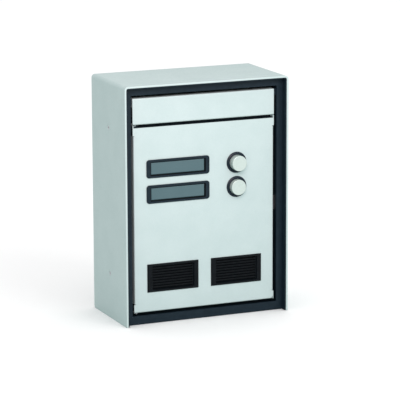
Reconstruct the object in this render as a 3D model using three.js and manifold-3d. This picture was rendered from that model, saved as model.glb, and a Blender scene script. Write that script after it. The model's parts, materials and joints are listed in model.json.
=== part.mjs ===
// Door intercom panel in a surface-mounted wall box.
// Millimetres. X runs to the right seen from the front, Y from the hood's front edge back to the wall, Z up.
// The finished group is moved so that its origin lies under the middle of the box, on the ground.
import * as THREE from "three";
import { mergeVertices } from "three/addons/utils/BufferGeometryUtils.js";
import Module from "manifold-3d";

const wasm = await Module();
wasm.setup();

// ---- Driving dimensions ------------------------------------------------------------------------

const WIDTH = 240;
const HEIGHT = 330;
const DEPTH = 125;
const GAP = 0.3; // between pieces that touch
const TOO_LONG = 400; // longer than the box, for cuts that go right through

const HOOD = { sheet: 2.5, bend: 5, frontCorner: 1, backCorner: 4 };
const HOOD_SCREWS = { depth: 63, heights: [62.7, 265.6], headRadius: 3.4, radius: 2, sink: 0.2, length: 8 };
const SOCKET = { radius: 1.3, depth: 1.2 };

const FRAME = {
  faceDepth: 11, // how far the black face lies behind the hood's front edge
  face: 3,
  rimDepth: 0.8,
  rim: 1.2,
  openingHalf: 107.2,
  openingBottom: 12,
  openingTop: 315.7,
  openingCorner: 1,
  pocketHalf: 110, // the walls behind the face, round the leaves
  pocketBottom: 8,
  pocketTop: 319,
  wall: 2,
  skirt: 1.5,
  back: 34,
};
const RAIL = { front: 27.5, thick: 3, top: [266, 284], bottom: [7, 26] };
const BOSS = { width: 6, height: 8 };

const BOX = { sheet: 1.2, flange: 7.5, cableHole: 15, cableX: 0, cableZ: 62 };
const WALL_SLOTS = { x: 90, heights: [42, 270], eye: 4, neck: 4.4, rise: 9 };
const FRAME_SCREWS = { x: 112.8, heights: [38, 292], radius: 1.5, headRadius: 2.7, head: 2, reach: 9 };
const SCREW_SLOT = { width: 0.8, length: 4 };
const GROMMET = { bore: 7, lip: 3, thick: 4 };
const TERMINALS = {
  z: 140,
  rail: { length: 90, height: 12, thick: 2 },
  block: { length: 72, height: 18, depth: 11 },
  ways: 6,
  pitch: 12,
  screw: { radius: 2.6, rise: 4, depth: 5 },
  entry: { width: 5, from: 3, to: 8, limits: [130, 136] },
};

const LEAF_DEPTH = 13; // front faces of the flap and the door
const SHEET = 1.5;
const FLAP = { half: 104, bottom: 275.2, top: 311.2, bend: 2, bottomReturn: 20, topReturn: 24 };
const FLAP_AXIS = { depth: 19, height: 306.5, rod: 1.5 };
const FLAP_EAR = { back: 26, bottom: 299 };
const FLAP_LUG = { depth: 8, height: 9 };
const BUFFER = { radius: 2.4, x: 80, rise: 3 };
const DOOR = {
  half: 104,
  bodyHalf: 103.2, // between the corner tabs, where the sides are bent back
  bottom: 16,
  top: 274.5,
  lowerTab: 11.2,
  upperTab: 14.3,
  sideReturn: 24.5,
  endReturn: 26,
  corner: 1.2,
};
const DOOR_AXIS = { x: -99, depth: 20, pin: 2, nose: 4.5, lug: 4, inset: 0.5 };
const HINGE_PIN = { above: 0.3, below: 3, past: 1 }; // beyond the door's edges, and past the lugs
const CATCH = { bottom: 140, top: 160, inner: 96, depth: 6 };

const CONTROLS_Z = 196.4; // middle of the two rows of name plate and button
const PLATE = {
  x: -38.8,
  pitch: 35,
  width: 92.1,
  height: 25.2,
  corner: 4,
  front: 11.5,
  windowWidth: 78.5,
  windowHeight: 17.1,
  windowSunk: 2, // behind the bezel's front
  windowThick: 1.5,
  cardThick: 0.5,
  tubeWall: 2.2,
  tubeBack: 18,
  guideBeyond: 1.8, // behind the tube
};
const LAMP_BOARD = { width: 88, margin: 12 };
const BUTTON = {
  x: 47.7,
  pitch: 33.7,
  collar: 14.6,
  collarFront: 10.8,
  collarSlope: 1.1,
  barrel: 12.2,
  barrelWall: 2,
  bore: 10.9,
  cap: 10.6,
  capFronts: [1.2, 3.7], // the upper cap stands prouder than the lower one
  floor: 24,
  barrelBack: 31.7,
  stem: 3.4,
  stemBack: 29.6,
  travel: 2,
  capWall: 1.6,
  nut: { radius: 15.5, thick: 5 },
  spring: { clear: 1.2, wall: 1.4 },
  body: { radius: 11.5, length: 13 },
  tag: { x: 5, thick: 1, height: 5, length: 5 },
};
const GRILLE = {
  x: 47,
  z: 62.7,
  width: 75.5,
  height: 39.2,
  front: 11,
  chamfer: 1.4,
  fieldWidth: 60.2,
  fieldHeight: 31.7,
  bodyWidth: 70,
  bodyHeight: 34.6,
  louvreFront: 13.6,
  back: 17,
  slots: 9,
  pitch: 3.75,
  slot: 1.7,
};
const SPEAKER = {
  radius: 25,
  rim: 4,
  rimFront: 17.3,
  gasket: 1.4,
  coneBack: 33,
  neck: 12.6,
  magnet: 12.5,
  back: 44,
};
const MICROPHONE = { boot: 9, capsule: 4.9, front: 17.3, back: 29, floor: 2.7 };
const BOARD = { x: -6, z: 126, width: 132, height: 56, front: 30, thick: 1.6, holeInset: 5, spacer: 3 };
const CONNECTOR = {
  x: [-56, -8],
  z: [-26, -16],
  depth: 10,
  ways: 6,
  pitch: 8,
  first: -52,
  entry: 2,
  entryDepth: 4,
};
const CHIP = { x: [8, 22], z: [2, 22], depth: 3.2 };
const CAPACITOR = { x: 42, z: -8, radius: 6, length: 13 };

const SMALL_ROUND = 12;
const ROUND = 20;
const LARGE_ROUND = 32;

// ---- Solids ------------------------------------------------------------------------------------

// A closed geometry, with its shared corners merged, as a solid that can be cut and joined.
function solid(geometry, matrix = new THREE.Matrix4()) {
  const bare = geometry.clone();
  bare.deleteAttribute("normal");
  bare.deleteAttribute("uv");
  bare.applyMatrix4(matrix);
  const merged = mergeVertices(bare, 1e-4);
  const corners = merged.index.array;
  const faces = [];
  for (let i = 0; i < corners.length; i += 3) {
    const [a, b, c] = corners.slice(i, i + 3);
    if (a !== b && b !== c && c !== a) faces.push(a, b, c);
  }
  const mesh = new wasm.Mesh({
    numProp: 3,
    vertProperties: new Float32Array(merged.attributes.position.array),
    triVerts: new Uint32Array(faces),
  });
  return new wasm.Manifold(mesh);
}

// Outlines drawn in two axes and extruded along the third.
const ALONG_Z = new THREE.Matrix4();
const ALONG_Y = new THREE.Matrix4().makeRotationX(Math.PI / 2); // drawn in X and Z
const ALONG_X = new THREE.Matrix4().set(0, 0, 1, 0, 1, 0, 0, 0, 0, 1, 0, 0, 0, 0, 0, 1); // drawn in Y and Z

function extrude(shape, length, matrix) {
  const options = { depth: length, bevelEnabled: false, curveSegments: 4 };
  return solid(new THREE.ExtrudeGeometry(shape, options), matrix);
}

function alongX(shape, from, to) {
  return extrude(shape, to - from, ALONG_X).translate(from, 0, 0);
}

function alongY(shape, from, to) {
  return extrude(shape, to - from, ALONG_Y).translate(0, to, 0);
}

function alongZ(shape, from, to) {
  return extrude(shape, to - from, ALONG_Z).translate(0, 0, from);
}

function box([x0, x1], [y0, y1], [z0, z1]) {
  const geometry = new THREE.BoxGeometry(x1 - x0, y1 - y0, z1 - z0);
  return solid(geometry).translate((x0 + x1) / 2, (y0 + y1) / 2, (z0 + z1) / 2);
}

// A pair of limits either side of a middle.
function span(middle, width) {
  return [middle - width / 2, middle + width / 2];
}

// A solid of revolution about the Y axis: profile points are [radius, y], in either order.
function turned(profile, sides = ROUND) {
  const doubled = profile.map(([r, y], i) => {
    const [r2, y2] = profile[(i + 1) % profile.length];
    return r * y2 - r2 * y;
  });
  const area = doubled.reduce((sum, part) => sum + part, 0);
  const ordered = area > 0 ? profile : [...profile].reverse();
  const closed = [...ordered, ordered[0]].map(([r, y]) => new THREE.Vector2(r, y));
  return solid(new THREE.LatheGeometry(closed, sides));
}

function discY(radius, y0, y1, sides = ROUND) {
  return solid(new THREE.CylinderGeometry(radius, radius, y1 - y0, sides)).translate(0, (y0 + y1) / 2, 0);
}

function discX(radius, x0, x1, sides = SMALL_ROUND) {
  return discY(radius, x0, x1, sides).rotate(0, 0, -90);
}

function discZ(radius, z0, z1, sides = SMALL_ROUND) {
  return discY(radius, z0, z1, sides).rotate(90, 0, 0);
}

// A rectangle with round corners, between two limits on each axis.
function roundedRectangle([u0, u1], [v0, v1], radius) {
  const shape = new THREE.Shape();
  shape.moveTo(u0 + radius, v0);
  shape.lineTo(u1 - radius, v0);
  shape.absarc(u1 - radius, v0 + radius, radius, -Math.PI / 2, 0);
  shape.lineTo(u1, v1 - radius);
  shape.absarc(u1 - radius, v1 - radius, radius, 0, Math.PI / 2);
  shape.lineTo(u0 + radius, v1);
  shape.absarc(u0 + radius, v1 - radius, radius, Math.PI / 2, Math.PI);
  shape.lineTo(u0, v0 + radius);
  shape.absarc(u0 + radius, v0 + radius, radius, Math.PI, 1.5 * Math.PI);
  return shape;
}

function polygon(points) {
  return new THREE.Shape(points.map(([u, v]) => new THREE.Vector2(u, v)));
}

function join(...solids) {
  return solids.reduce((whole, part) => whole.add(part));
}

function cut(whole, ...tools) {
  return tools.reduce((left, tool) => left.subtract(tool), whole);
}

// ---- Materials and nodes -----------------------------------------------------------------------

const FINISHES = {
  silverPaint: { color: 0xd3dcdc, roughness: 0.42, metalness: 0.35 },
  steel: { color: 0xb4b8ba, roughness: 0.35, metalness: 1 },
  innerPaint: { color: 0xa9adae, roughness: 0.6, metalness: 0.2 },
  blackPlastic: { color: 0x20272d, roughness: 0.5, metalness: 0 },
  deepBlack: { color: 0x101316, roughness: 0.6, metalness: 0 },
  capMetal: { color: 0xe2e6e3, roughness: 0.3, metalness: 0.6 },
  smokedWindow: { color: 0x6a7f88, roughness: 0.15, metalness: 0 },
  card: { color: 0xd8dcd8, roughness: 0.8, metalness: 0 },
  diffuser: { color: 0xe9ece8, roughness: 0.5, metalness: 0 },
  rubber: { color: 0x17181a, roughness: 0.85, metalness: 0 },
  board: { color: 0x1f5a3c, roughness: 0.5, metalness: 0 },
  terminal: { color: 0x4f7f57, roughness: 0.55, metalness: 0 },
  paperCone: { color: 0x2c2a28, roughness: 0.9, metalness: 0 },
  ferrite: { color: 0x3a3b3e, roughness: 0.7, metalness: 0.3 },
  brass: { color: 0xc9a755, roughness: 0.35, metalness: 1 },
};

// A solid as a named mesh with a material of its own.
function node(name, whole, finish) {
  const mesh = whole.getMesh();
  const geometry = new THREE.BufferGeometry();
  geometry.setAttribute("position", new THREE.BufferAttribute(mesh.vertProperties, 3));
  geometry.setIndex(new THREE.BufferAttribute(mesh.triVerts, 1));
  const material = new THREE.MeshStandardMaterial({ ...FINISHES[finish], flatShading: true });
  const made = new THREE.Mesh(geometry, material);
  made.name = name;
  return made;
}

function group(...members) {
  const made = new THREE.Group();
  made.add(...members);
  return made;
}

function at(object, x, y, z) {
  object.position.set(x, y, z);
  return object;
}

// ---- Rain hood ---------------------------------------------------------------------------------

const HOOD_INSIDE = WIDTH / 2 - HOOD.sheet;
const CASE_HALF = HOOD_INSIDE - GAP;
const CASE_TOP = HEIGHT - HOOD.sheet - GAP;
const CASE_CORNER = HOOD.bend - HOOD.sheet; // so that the frame and the box follow the hood's bends

// An upside-down U in X and Z, with bent upper corners.
function hoodSection() {
  const inner = HOOD.bend - HOOD.sheet;
  const outside = WIDTH / 2;
  const cornerZ = HEIGHT - HOOD.bend;
  const shape = new THREE.Shape();
  shape.moveTo(outside, 0);
  shape.lineTo(outside, cornerZ);
  shape.absarc(outside - HOOD.bend, cornerZ, HOOD.bend, 0, Math.PI / 2);
  shape.lineTo(HOOD.bend - outside, HEIGHT);
  shape.absarc(HOOD.bend - outside, cornerZ, HOOD.bend, Math.PI / 2, Math.PI);
  shape.lineTo(-outside, 0);
  shape.lineTo(-HOOD_INSIDE, 0);
  shape.lineTo(-HOOD_INSIDE, cornerZ);
  shape.absarc(inner - HOOD_INSIDE, cornerZ, inner, Math.PI, Math.PI / 2, true);
  shape.lineTo(HOOD_INSIDE - inner, HEIGHT - HOOD.sheet);
  shape.absarc(HOOD_INSIDE - inner, cornerZ, inner, Math.PI / 2, 0, true);
  shape.lineTo(HOOD_INSIDE, 0);
  return shape;
}

// The sides' outline in Y and Z: the lower corners are rounded off.
function hoodSide() {
  const { frontCorner, backCorner } = HOOD;
  const shape = new THREE.Shape();
  shape.moveTo(frontCorner, 0);
  shape.lineTo(DEPTH - backCorner, 0);
  shape.absarc(DEPTH - backCorner, backCorner, backCorner, -Math.PI / 2, 0);
  shape.lineTo(DEPTH, HEIGHT);
  shape.lineTo(0, HEIGHT);
  shape.lineTo(0, frontCorner);
  shape.absarc(frontCorner, frontCorner, frontCorner, Math.PI, 1.5 * Math.PI);
  return shape;
}

// A countersunk screw along +X from its head's flat face at 0.
function countersunk(headRadius, radius, length) {
  const cone = headRadius - radius;
  const profile = [
    [0, 0],
    [headRadius, 0],
    [headRadius, 0.4],
    [radius, 0.4 + cone],
    [radius, length],
    [0, length],
  ];
  return turned(profile, SMALL_ROUND).rotate(0, 0, -90);
}

function hood() {
  const screws = HOOD_SCREWS;
  const outside = WIDTH / 2;
  const sink = countersunk(screws.headRadius + GAP, screws.radius + GAP, HOOD.sheet + 1);
  const holes = screws.heights.flatMap((z) => {
    const left = sink.translate(screws.sink - outside - GAP / 2, screws.depth, z);
    const mouth = discX(screws.headRadius + GAP, -outside - 1, -outside + 0.1).translate(0, screws.depth, z);
    const both = join(left, mouth);
    return [both, both.mirror([1, 0, 0])];
  });
  const bent = alongY(hoodSection(), 0, DEPTH);
  return node("hood", cut(bent.intersect(alongX(hoodSide(), -TOO_LONG, TOO_LONG)), ...holes), "silverPaint");
}

function hoodScrews() {
  const { headRadius, radius, sink, length, depth, heights } = HOOD_SCREWS;
  const screw = countersunk(headRadius, radius, length);
  const socket = discX(SOCKET.radius, -1, SOCKET.depth, 6);
  const whole = cut(screw, socket);
  const names = ["lower", "upper"];
  return heights.flatMap((z, i) => {
    const left = at(node(`hood_screw_left_${names[i]}`, whole, "steel"), sink - WIDTH / 2, depth, z);
    const right = at(node(`hood_screw_right_${names[i]}`, whole, "steel"), WIDTH / 2 - sink, depth, z);
    right.rotation.z = Math.PI;
    return [left, right];
  });
}

// ---- Black front frame -------------------------------------------------------------------------

const RAIL_DEPTH = [RAIL.front, RAIL.front + RAIL.thick];
const UPPER_LUG = [DOOR.top - SHEET - GAP - DOOR_AXIS.lug, DOOR.top - SHEET - GAP];
const LOWER_LUG = [DOOR.bottom + SHEET + GAP, DOOR.bottom + SHEET + GAP + DOOR_AXIS.lug];

// A block as wide and as high as the inside of the hood.
function caseBlock(front, back) {
  return alongY(roundedRectangle([-CASE_HALF, CASE_HALF], [0, CASE_TOP], CASE_CORNER), front, back);
}

// The walls behind the face: a skirt inside the hood and a pocket round the flap and the door.
function frameWalls() {
  const { face, faceDepth, skirt, wall, pocketHalf, pocketBottom, pocketTop, back } = FRAME;
  const depth = [faceDepth + face - 1, back];
  const through = [faceDepth, back + 1];
  const skirtInside = CASE_HALF - skirt;
  const outer = caseBlock(...depth);
  const outerHollow = box([-skirtInside, skirtInside], through, [skirt, CASE_TOP - skirt]);
  const pocketOutside = pocketHalf + wall;
  const pocket = box([-pocketOutside, pocketOutside], depth, [pocketBottom - wall, pocketTop + wall]);
  const pocketHollow = box([-pocketHalf, pocketHalf], through, [pocketBottom, pocketTop]);
  return join(cut(outer, outerHollow), pocket).subtract(pocketHollow);
}

// A tongue with a round nose that carries one of the door's hinge pins.
function hingeLug(limits) {
  const { x, depth, nose } = DOOR_AXIS;
  const tongue = box(span(x, 2 * nose), [depth, RAIL.front + 1], limits);
  return join(discZ(nose, ...limits, ROUND).translate(x, depth, 0), tongue);
}

function frameBoss(side, z) {
  const x = side * FRAME_SCREWS.x;
  return box(span(x, BOSS.width), [FRAME.faceDepth + 1, FRAME.back], span(z, BOSS.height));
}

function flapLug(side) {
  const limits = [FLAP.half + 2 * GAP, FRAME.pocketHalf + 1].map((x) => side * x).sort((a, b) => a - b);
  return box(limits, span(FLAP_AXIS.depth, FLAP_LUG.depth), span(FLAP_AXIS.height, FLAP_LUG.height));
}

function frontFrame() {
  const { faceDepth, face, rimDepth, rim, back } = FRAME;
  const { openingHalf, openingBottom, openingTop, openingCorner } = FRAME;
  const opening = roundedRectangle([-openingHalf, openingHalf], [openingBottom, openingTop], openingCorner);
  const slab = caseBlock(rimDepth, faceDepth + face);
  const rimInside = CASE_HALF - rim;
  const recess = box([-rimInside, rimInside], [0, faceDepth], [-1, CASE_TOP - rim]);
  const plate = cut(slab, recess, alongY(opening, 0, back));
  const rails = [RAIL.top, RAIL.bottom].map((z) => {
    return box([-FRAME.pocketHalf - 1, FRAME.pocketHalf + 1], RAIL_DEPTH, z);
  });
  const lugs = [UPPER_LUG, LOWER_LUG].map(hingeLug);
  const sides = [-1, 1];
  const bosses = sides.flatMap((side) => FRAME_SCREWS.heights.map((z) => frameBoss(side, z)));
  const pinHole = discZ(DOOR_AXIS.pin + GAP, 0, HEIGHT).translate(DOOR_AXIS.x, DOOR_AXIS.depth, 0);
  const pinHoles = cut(pinHole, box([-WIDTH, WIDTH], [0, DEPTH], [LOWER_LUG[1] + 1, UPPER_LUG[0] - 1]))
    .intersect(box([-WIDTH, WIDTH], [0, DEPTH], [LOWER_LUG[0] - 1, UPPER_LUG[1] + 1]));
  const rodEnd = FRAME.pocketHalf - 0.1;
  const rodHole = discX(FLAP_AXIS.rod + GAP, -rodEnd, rodEnd).translate(0, FLAP_AXIS.depth, FLAP_AXIS.height);
  const screwHoles = sides.flatMap((side) => FRAME_SCREWS.heights.map((z) => {
    const hole = discY(FRAME_SCREWS.radius + GAP, back - FRAME_SCREWS.reach - GAP, back + 1, SMALL_ROUND);
    return hole.translate(side * FRAME_SCREWS.x, 0, z);
  }));
  const whole = join(plate, frameWalls(), ...rails, ...lugs, ...bosses, ...sides.map(flapLug));
  return node("front_frame", cut(whole, pinHoles, rodHole, ...screwHoles), "blackPlastic");
}

// ---- Inner box, fixed to the wall --------------------------------------------------------------

const BOX_FRONT = FRAME.back + GAP;

function boxBody() {
  const { sheet, flange, cableHole, cableX, cableZ } = BOX;
  const { x: slotX, heights, eye, neck, rise } = WALL_SLOTS;
  const inside = CASE_HALF - sheet;
  const shell = caseBlock(BOX_FRONT, DEPTH);
  const hollow = box([-inside, inside], [BOX_FRONT + sheet, DEPTH - sheet], [sheet, CASE_TOP - sheet]);
  const mouthHalf = CASE_HALF - flange;
  const lipDepth = [BOX_FRONT - 1, BOX_FRONT + sheet + 1];
  const mouth = box([-mouthHalf, mouthHalf], lipDepth, [flange, CASE_TOP - flange]);
  const backCut = [DEPTH - sheet - 1, DEPTH + 1];
  const cable = discY(cableHole, ...backCut).translate(cableX, 0, cableZ);
  const slots = [-1, 1].flatMap((side) => heights.map((z) => {
    const round = discY(eye, ...backCut, SMALL_ROUND).translate(side * slotX, 0, z);
    return join(round, box(span(side * slotX, neck), backCut, [z, z + rise]));
  }));
  const hoodHoles = HOOD_SCREWS.heights.map((z) => {
    return discX(HOOD_SCREWS.radius + GAP, -TOO_LONG, TOO_LONG).translate(0, HOOD_SCREWS.depth, z);
  });
  const frameHoles = [-1, 1].flatMap((side) => FRAME_SCREWS.heights.map((z) => {
    const hole = discY(FRAME_SCREWS.radius + GAP, BOX_FRONT - 1, BOX_FRONT + sheet + 1, SMALL_ROUND);
    return hole.translate(side * FRAME_SCREWS.x, 0, z);
  }));
  const holes = [cable, ...slots, ...hoodHoles, ...frameHoles];
  return node("box_body", cut(shell, hollow, mouth, ...holes), "innerPaint");
}

function frameScrews() {
  const { x, heights, radius, headRadius, head, reach } = FRAME_SCREWS;
  const seat = BOX_FRONT + BOX.sheet + GAP;
  const profile = [
    [0, FRAME.back - reach],
    [radius, FRAME.back - reach],
    [radius, seat],
    [headRadius, seat],
    [headRadius, seat + head],
    [0, seat + head],
  ];
  const { width, length } = SCREW_SLOT;
  const slot = box(span(0, width), [seat + head - width, seat + head + 1], span(0, length));
  const screw = cut(turned(profile, SMALL_ROUND), slot);
  const rows = ["lower", "upper"];
  const sides = { left: -1, right: 1 };
  return heights.flatMap((z, i) => Object.entries(sides).map(([side, sign]) => {
    return at(node(`frame_screw_${side}_${rows[i]}`, screw, "steel"), sign * x, 0, z);
  }));
}

// A rubber ring in the back wall's cable hole.
function cableGrommet() {
  const { bore, lip, thick } = GROMMET;
  const neck = BOX.cableHole - GAP;
  const seat = DEPTH - BOX.sheet - GAP;
  const front = seat - thick;
  const rim = neck + lip;
  const profile = [[bore, front], [rim, front], [rim, seat], [neck, seat], [neck, DEPTH], [bore, DEPTH]];
  return at(node("cable_grommet", turned(profile), "rubber"), BOX.cableX, 0, BOX.cableZ);
}

// A screw terminal strip on a rail, where the wires from the building end.
function caseTerminals() {
  const { z, rail, block, ways, pitch, screw, entry } = TERMINALS;
  const wall = DEPTH - BOX.sheet - GAP;
  const strip = box(span(0, rail.length), [wall - rail.thick, wall], span(z, rail.height));
  const back = wall - rail.thick - GAP;
  const front = back - block.depth;
  const body = box(span(0, block.length), [front, back], span(z, block.height));
  const wells = [];
  for (let way = 0; way < ways; way += 1) {
    const x = pitch * (way - (ways - 1) / 2);
    const well = discY(screw.radius, front - 1, front + screw.depth, SMALL_ROUND);
    wells.push(well.translate(x, 0, z + screw.rise));
    wells.push(box(span(x, entry.width), [front + entry.from, front + entry.to], entry.limits));
  }
  return [node("terminal_rail", strip, "steel"), node("terminal_block", cut(body, ...wells), "terminal")];
}

// ---- Flap over the upper strip -----------------------------------------------------------------

// The flap's sheet in Y and Z: rolled back along the bottom, bent back along the top.
function flapSection() {
  const { bottom, top, bend, bottomReturn, topReturn } = FLAP;
  const front = LEAF_DEPTH;
  const shape = new THREE.Shape();
  shape.moveTo(topReturn, top);
  shape.lineTo(front + SHEET, top);
  shape.absarc(front + SHEET, top - SHEET, SHEET, Math.PI / 2, Math.PI);
  shape.lineTo(front, bottom + bend);
  shape.absarc(front + bend, bottom + bend, bend, Math.PI, 1.5 * Math.PI);
  shape.lineTo(bottomReturn, bottom);
  shape.lineTo(bottomReturn, bottom + SHEET);
  shape.lineTo(front + bend, bottom + SHEET);
  shape.absarc(front + bend, bottom + bend, bend - SHEET, 1.5 * Math.PI, Math.PI, true);
  shape.lineTo(front + SHEET, top - SHEET);
  shape.lineTo(topReturn, top - SHEET);
  return shape;
}

function flap() {
  const sheet = alongX(flapSection(), -FLAP.half, FLAP.half);
  const earDepth = [LEAF_DEPTH + 1, FLAP_EAR.back];
  const earHeight = [FLAP_EAR.bottom, FLAP.top];
  const left = box([-FLAP.half, SHEET - FLAP.half], earDepth, earHeight);
  const right = box([FLAP.half - SHEET, FLAP.half], earDepth, earHeight);
  const { rod, depth, height } = FLAP_AXIS;
  const hole = discX(rod + GAP, -TOO_LONG, TOO_LONG).translate(0, depth, height);
  return node("flap", join(sheet, left, right).subtract(hole), "silverPaint");
}

function flapHardware() {
  const half = FRAME.pocketHalf - 2 * GAP;
  const rod = discX(FLAP_AXIS.rod, -half, half).translate(0, FLAP_AXIS.depth, FLAP_AXIS.height);
  const buffer = discY(BUFFER.radius, FLAP.bottomReturn + GAP, RAIL.front - GAP, SMALL_ROUND);
  const z = FLAP.bottom + BUFFER.rise;
  return [
    node("flap_rod", rod, "steel"),
    at(node("flap_buffer_left", buffer, "rubber"), -BUFFER.x, 0, z),
    at(node("flap_buffer_right", buffer, "rubber"), BUFFER.x, 0, z),
  ];
}

// ---- Door leaf ---------------------------------------------------------------------------------

const LEAF_BACK = LEAF_DEPTH + SHEET;
const PLATE_ROWS = [CONTROLS_Z + PLATE.pitch / 2, CONTROLS_Z - PLATE.pitch / 2];
const BUTTON_ROWS = [CONTROLS_Z + BUTTON.pitch / 2, CONTROLS_Z - BUTTON.pitch / 2];
const ROW_NAMES = ["upper", "lower"];
const TUBE_WIDTH = PLATE.windowWidth + 2 * PLATE.tubeWall;
const TUBE_HEIGHT = PLATE.windowHeight + 2 * PLATE.tubeWall;
const GUIDE_BACK = PLATE.tubeBack + PLATE.guideBeyond;

// The upper or lower bent-back strip of the door, with the hinge pin's hole and a trimmed corner.
function doorReturn(limits) {
  const { bodyHalf, endReturn } = DOOR;
  const left = DOOR_AXIS.x - DOOR_AXIS.nose + DOOR_AXIS.inset;
  const outline = polygon([
    [left, LEAF_DEPTH + 1],
    [bodyHalf, LEAF_DEPTH + 1],
    [bodyHalf, endReturn],
    [left + 2, endReturn],
    [left, endReturn - 4],
  ]);
  const hole = discZ(DOOR_AXIS.pin + GAP, 0, HEIGHT).translate(DOOR_AXIS.x, DOOR_AXIS.depth, 0);
  return alongZ(outline, ...limits).subtract(hole);
}

function doorCutouts() {
  const through = [LEAF_DEPTH - 1, LEAF_BACK + 1];
  const plates = PLATE_ROWS.map((z) => {
    return box(span(PLATE.x, TUBE_WIDTH + 2 * GAP), through, span(z, TUBE_HEIGHT + 2 * GAP));
  });
  const buttons = BUTTON_ROWS.map((z) => discY(BUTTON.barrel + GAP, ...through).translate(BUTTON.x, 0, z));
  const grilles = [-GRILLE.x, GRILLE.x].map((x) => {
    return box(span(x, GRILLE.bodyWidth + 2 * GAP), through, span(GRILLE.z, GRILLE.bodyHeight + 2 * GAP));
  });
  return [...plates, ...buttons, ...grilles];
}

function doorPanel() {
  const { half, bodyHalf, bottom, top, lowerTab, upperTab, sideReturn, corner } = DOOR;
  const sheet = (halfWidth, limits) => {
    return alongY(roundedRectangle([-halfWidth, halfWidth], limits, corner), LEAF_DEPTH, LEAF_BACK);
  };
  const front = join(
    sheet(bodyHalf, [bottom, top]),
    sheet(half, [bottom, bottom + lowerTab]),
    sheet(half, [top - upperTab, top]),
  );
  const returnHeight = [bottom + lowerTab + 1, top - upperTab - 1];
  const returnDepth = [LEAF_DEPTH + 1, sideReturn];
  const left = box([-bodyHalf, SHEET - bodyHalf], returnDepth, returnHeight);
  const right = box([bodyHalf - SHEET, bodyHalf], returnDepth, returnHeight);
  const ends = [doorReturn([bottom, bottom + SHEET]), doorReturn([top - SHEET, top])];
  return node("door_panel", cut(join(front, left, right, ...ends), ...doorCutouts()), "silverPaint");
}

function hingePins() {
  const upper = discZ(DOOR_AXIS.pin, UPPER_LUG[0] - HINGE_PIN.past, DOOR.top + HINGE_PIN.above);
  const lower = discZ(DOOR_AXIS.pin, DOOR.bottom - HINGE_PIN.below, LOWER_LUG[1] + HINGE_PIN.past);
  return [
    at(node("hinge_pin_upper", upper, "steel"), DOOR_AXIS.x, DOOR_AXIS.depth, 0),
    at(node("hinge_pin_lower", lower, "steel"), DOOR_AXIS.x, DOOR_AXIS.depth, 0),
  ];
}

// The steel angle on the door, and the magnet in the frame that holds it shut.
const STRIKE = { inner: 92, outer: DOOR.bodyHalf - SHEET - GAP, back: DOOR.endReturn + 0.5, sheet: 1.2 };

function doorStrike() {
  const { inner, outer, back, sheet } = STRIKE;
  const height = [CATCH.bottom, CATCH.top];
  const side = box([outer - sheet, outer], [LEAF_BACK + GAP, back], height);
  const face = box([inner, outer], [back - sheet, back], height);
  return node("door_strike", join(side, face), "steel");
}

function catchMagnet() {
  const front = STRIKE.back + 2 * GAP;
  const height = [CATCH.bottom, CATCH.top];
  const body = box([CATCH.inner, FRAME.pocketHalf - GAP], [front, front + CATCH.depth], height);
  return node("catch_magnet", body, "deepBlack");
}

// ---- Name plates -------------------------------------------------------------------------------

function namePlate(row) {
  const { x, width, height, corner, front, windowWidth, windowHeight, tubeBack } = PLATE;
  const windowFront = front + PLATE.windowSunk;
  const windowBack = windowFront + PLATE.windowThick;
  const cardBack = windowBack + GAP + PLATE.cardThick;
  const flange = alongY(roundedRectangle(span(0, width), span(0, height), corner), front, LEAF_DEPTH - GAP);
  const tube = box(span(0, TUBE_WIDTH), [front + 1, tubeBack], span(0, TUBE_HEIGHT));
  const opening = box(span(0, windowWidth), [0, DEPTH], span(0, windowHeight));
  const insert = (from, to) => {
    return box(span(0, windowWidth - 2 * GAP), [from, to], span(0, windowHeight - 2 * GAP));
  };
  const name = ROW_NAMES[row];
  const pieces = group(
    node(`nameplate_bezel_${name}`, join(flange, tube).subtract(opening), "blackPlastic"),
    node(`nameplate_window_${name}`, insert(windowFront, windowBack), "smokedWindow"),
    node(`name_card_${name}`, insert(windowBack + GAP, cardBack), "card"),
    node(`light_guide_${name}`, insert(cardBack + GAP, GUIDE_BACK), "diffuser"),
  );
  return at(pieces, x, 0, PLATE_ROWS[row]);
}

// One board behind both name plates, with the lamps that light the cards.
function lampBoard() {
  const front = GUIDE_BACK + GAP;
  const height = [PLATE_ROWS[1] - LAMP_BOARD.margin, PLATE_ROWS[0] + LAMP_BOARD.margin];
  const whole = box(span(PLATE.x, LAMP_BOARD.width), [front, front + BOARD.thick], height);
  return node("nameplate_lamp_board", whole, "board");
}

// ---- Push buttons ------------------------------------------------------------------------------

function buttonCollar(name) {
  const { collar, collarFront, collarSlope, barrel, barrelWall, bore, floor, barrelBack, stem } = BUTTON;
  const seat = LEAF_DEPTH - GAP;
  const round = 0.4;
  const shoulder = collarFront + collarSlope;
  const shelf = floor + barrelWall;
  const profile = [
    [bore, collarFront + round],
    [bore + round, collarFront],
    [barrel + round / 2, collarFront],
    [collar - round, shoulder],
    [collar, shoulder + round],
    [collar, seat],
    [barrel, seat],
    [barrel, barrelBack],
    [barrel - barrelWall, barrelBack],
    [barrel - barrelWall, shelf],
    [stem + GAP, shelf],
    [stem + GAP, floor],
    [bore, floor],
  ];
  return node(`button_collar_${name}`, turned(profile, LARGE_ROUND), "blackPlastic");
}

function buttonNut(name) {
  const { radius, thick } = BUTTON.nut;
  const front = LEAF_BACK + GAP;
  const hexagon = discY(radius, front, front + thick, 6);
  return node(`button_nut_${name}`, hexagon.subtract(discY(BUTTON.barrel + GAP, 0, DEPTH)), "deepBlack");
}

// A hollow cap with a stem down its middle that reaches the switch.
const CAP_ROOF = 9;
const CAP_EDGE = 0.6;

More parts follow.
